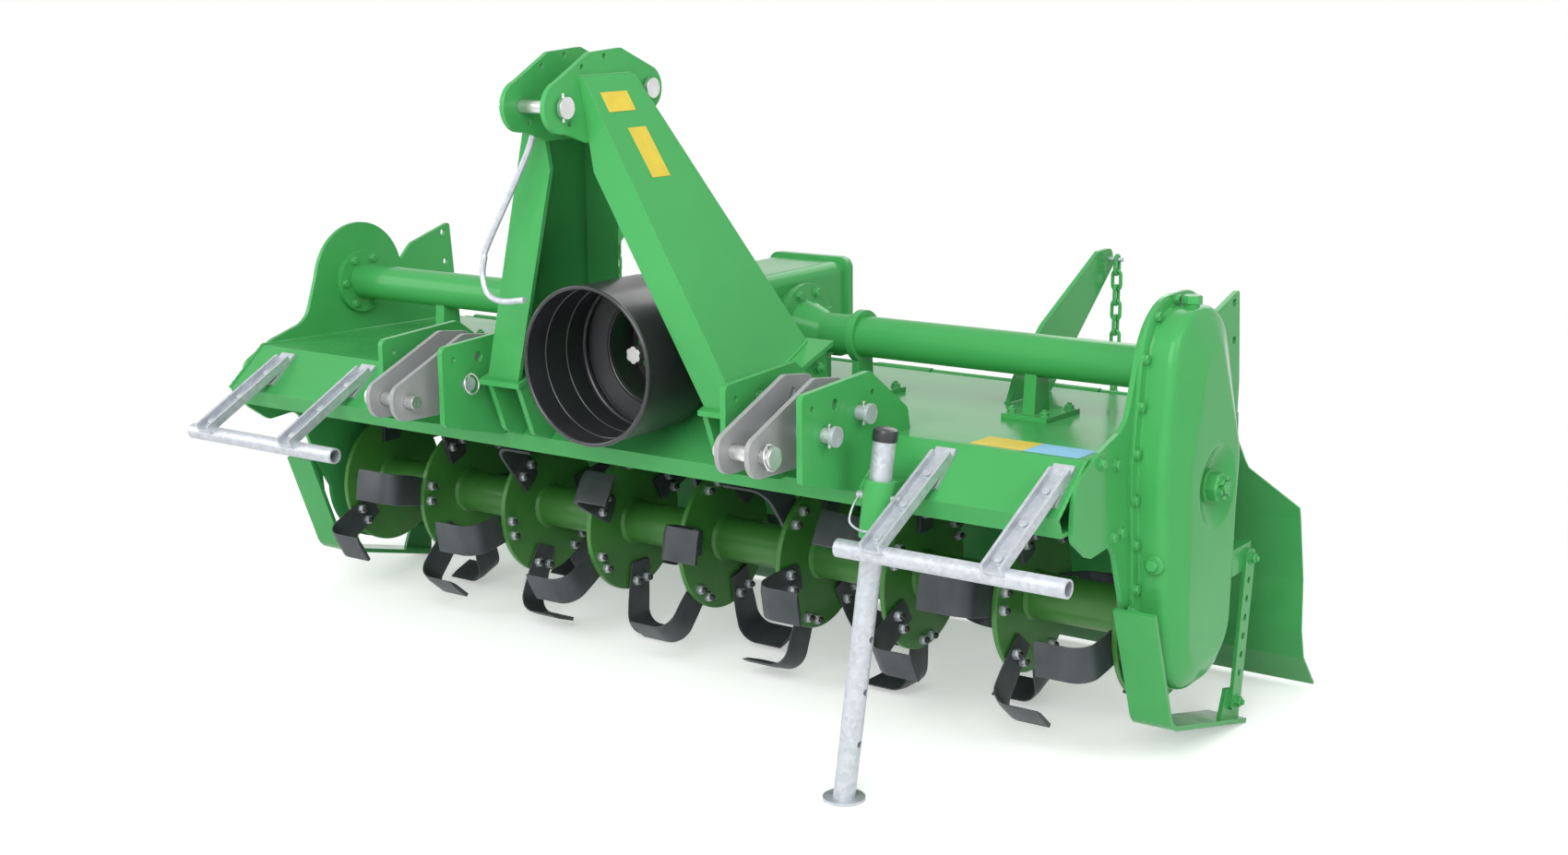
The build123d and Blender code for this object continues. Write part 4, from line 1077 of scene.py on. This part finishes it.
def add_welds():
    """Beads where lift arms, mast, hitch plates and end plates meet the hood and each other."""
    welds = []
    for face in LIFT_ARM_FACES:
        for x in (MID_X + face, MID_X - face):
            welds.append(bead(*[(x, y, hood_z(y)) for y in LIFT_ARM_WELD_Y]))
    front_y, rear_y = POST_WELD_Y
    for side in (1, -1):
        base_x = side * BASE_OUT_X
        welds.append(bead((base_x, BASE_WELD_REAR_Y, hood_z(BASE_WELD_REAR_Y)), (base_x, *HOOD_FRONT)))
        welds.append(bead((side * post_x(POST_WELD_LOW_Z), front_y, foot_z(front_y) + POST_WELD_RISE),
                          (side * post_x(foot_z(rear_y)), rear_y, foot_z(rear_y) + POST_WELD_RISE)))
        welds.append(bead(*[(side * HEAD_WELD_X, y, POST_TOP[1]) for y in HEAD_WELD_Y], HEAD_WELD_R))
        for x in (BASE_OUT_X, *HITCH_WELD_X):
            welds.append(bead((side * x, *HOOD_FRONT), (side * x, *FOLD)))
    for x in (END_LEFT, END_RIGHT):
        welds.append(bead((x, *HOOD_FRONT), (x, *HOOD_REAR)))
        welds.append(bead((x, *HOOD_FRONT), (x, *FOLD)))
    mesh_piece("weld_beads", join(*welds), "frame", GREEN)


def slab(corners, normal):
    """Thin slab on four corners, which it reaches below and above along a normal."""
    normal = np.array(normal)
    points = np.concatenate([corners - normal * PATCH_SINK, corners + normal * PATCH_RISE])
    faces = [(0, 1, 2, 3), (4, 5, 6, 7), (0, 1, 5, 4), (1, 2, 6, 5), (2, 3, 7, 6), (3, 0, 4, 7)]
    return in_frame(points), [np.array(faces)]


def post_patch(y, top, width, height, slant):
    """Slab on the sloping outer face of the right post, further back at its foot by the slant."""
    across = y + np.array([0, width, width + slant, slant])
    up = top - np.array([0, 0, height, height])
    return slab(np.stack([post_x(up), across, up], -1), (1, 0, 0))


def hood_patch(x0, x1):
    """Slab on the hood just behind its front fold."""
    y = np.repeat(HOOD_PATCH_Y, 2)
    return slab(np.stack([(x0, x1, x1, x0), y, hood_z(y)], -1), (0, 0, 1))


def add_patches():
    """Plain patches on the right post and the hood."""
    yellow = [post_patch(*sizes) for sizes in POST_PATCHES] + [hood_patch(*HOOD_PATCH_X[:2])]
    mesh_piece("blank_patches", join(*yellow), "frame", YELLOW)
    mesh_piece("blank_blue_patch", hood_patch(*HOOD_PATCH_X[1:]), "frame", PALE_BLUE)


# Camera, lamps, world and floor


def add_camera():
    """Camera at the photograph's place, with its right, up and back vectors as columns of its matrix."""
    back = np.array([math.sin(AZIMUTH) * math.cos(PITCH), -math.cos(AZIMUTH) * math.cos(PITCH),
                     math.sin(PITCH)])
    level = np.array([math.cos(AZIMUTH), math.sin(AZIMUTH), 0.0])
    upright = np.cross(level, -back)
    right = math.cos(ROLL) * level + math.sin(ROLL) * upright
    up = math.cos(ROLL) * upright - math.sin(ROLL) * level
    data = bpy.data.cameras.new("camera")
    data.sensor_width = SENSOR_W
    data.lens = FOCAL_PX / IMAGE_W * SENSOR_W
    data.clip_end = CLIP_END
    camera = bpy.data.objects.new("camera", data)
    bpy.context.scene.collection.objects.link(camera)
    matrix = np.eye(4)
    matrix[:3] = np.column_stack([right, up, back, in_frame(CAMERA)])
    camera.matrix_world = mathutils.Matrix(matrix.tolist())
    bpy.context.scene.camera = camera


def add_lamp(name, place, target, size, watts):
    """Soft square lamp aimed at a point."""
    data = bpy.data.lights.new(name, "AREA")
    data.size = size
    data.energy = watts
    lamp = bpy.data.objects.new(name, data)
    bpy.context.scene.collection.objects.link(lamp)
    lamp.location = place
    aim = mathutils.Vector(target) - mathutils.Vector(place)
    lamp.rotation_euler = aim.to_track_quat("-Z", "Y").to_euler()


def seen_rays(tree):
    """1 for camera, glossy and transmission rays, 0 for the rest."""
    path = tree.nodes.new("ShaderNodeLightPath")
    direct = math_node(tree, "MAXIMUM", path.outputs["Is Camera Ray"], path.outputs["Is Glossy Ray"])
    return math_node(tree, "MAXIMUM", direct, path.outputs["Is Transmission Ray"])


def add_world():
    """White world as seen, softer as light."""
    world = bpy.data.worlds.new("studio")
    bpy.context.scene.world = world
    world.use_nodes = True
    tree = world.node_tree
    background = tree.nodes["Background"]
    background.inputs["Color"].default_value = (*WHITE, 1)
    strength = map_range(tree, seen_rays(tree), (0.0, 1.0), (WORLD_LIGHT, 1.0))
    tree.links.new(strength, background.inputs["Strength"])


def floor_material():
    """Pale floor that keeps the object's shadow near it and fades to the white of the world further out."""
    material = bpy.data.materials.new("pale_floor")
    material.use_nodes = True
    tree = material.node_tree
    bsdf = tree.nodes["Principled BSDF"]
    bsdf.inputs["Base Color"].default_value = (FLOOR_TONE, FLOOR_TONE, FLOOR_TONE, 1)
    bsdf.inputs["Roughness"].default_value = 0.9
    bsdf.inputs["Specular IOR Level"].default_value = 0.0
    bsdf.inputs["Emission Color"].default_value = (*WHITE, 1)
    seen = seen_rays(tree)
    tree.links.new(map_range(tree, seen, (0.0, 1.0), (0.0, FLOOR_LIFT)), bsdf.inputs["Emission Strength"])
    coord = tree.nodes.new("ShaderNodeTexCoord")
    distance = tree.nodes.new("ShaderNodeVectorMath")
    distance.operation = "LENGTH"
    tree.links.new(coord.outputs["Object"], distance.inputs[0])
    fade = map_range(tree, distance.outputs["Value"], FLOOR_FADE, (0.0, 1.0), smooth=True)
    white = tree.nodes.new("ShaderNodeEmission")
    mix = tree.nodes.new("ShaderNodeMixShader")
    tree.links.new(math_node(tree, "MULTIPLY", fade, seen), mix.inputs[0])
    tree.links.new(bsdf.outputs[0], mix.inputs[1])
    tree.links.new(white.outputs[0], mix.inputs[2])
    tree.links.new(mix.outputs[0], tree.nodes["Material Output"].inputs["Surface"])
    return material


def add_floor():
    """Square floor just under the object."""
    mesh = bpy.data.meshes.new("floor")
    corners = [(x * FLOOR_HALF, y * FLOOR_HALF, FLOOR_Z) for x, y in ((-1, -1), (1, -1), (1, 1), (-1, 1))]
    mesh.from_pydata(corners, [], [(0, 1, 2, 3)])
    floor = bpy.data.objects.new("floor", mesh)
    bpy.context.scene.collection.objects.link(floor)
    mesh.materials.append(floor_material())


dress_nodes()
add_rotor()
add_chains()
add_case_cover()
add_case_bolts()
add_gearbox_bolts()
add_end_bolts()
add_frame_nuts()
add_guard_bolts()
add_pins()
add_stand_fittings()
add_hook()
add_shield_hoops()
add_welds()
add_patches()

bpy.context.scene.view_settings.view_transform = "Standard"
add_camera()
add_world()
add_floor()
for lamp in LAMPS:
    add_lamp(*lamp)
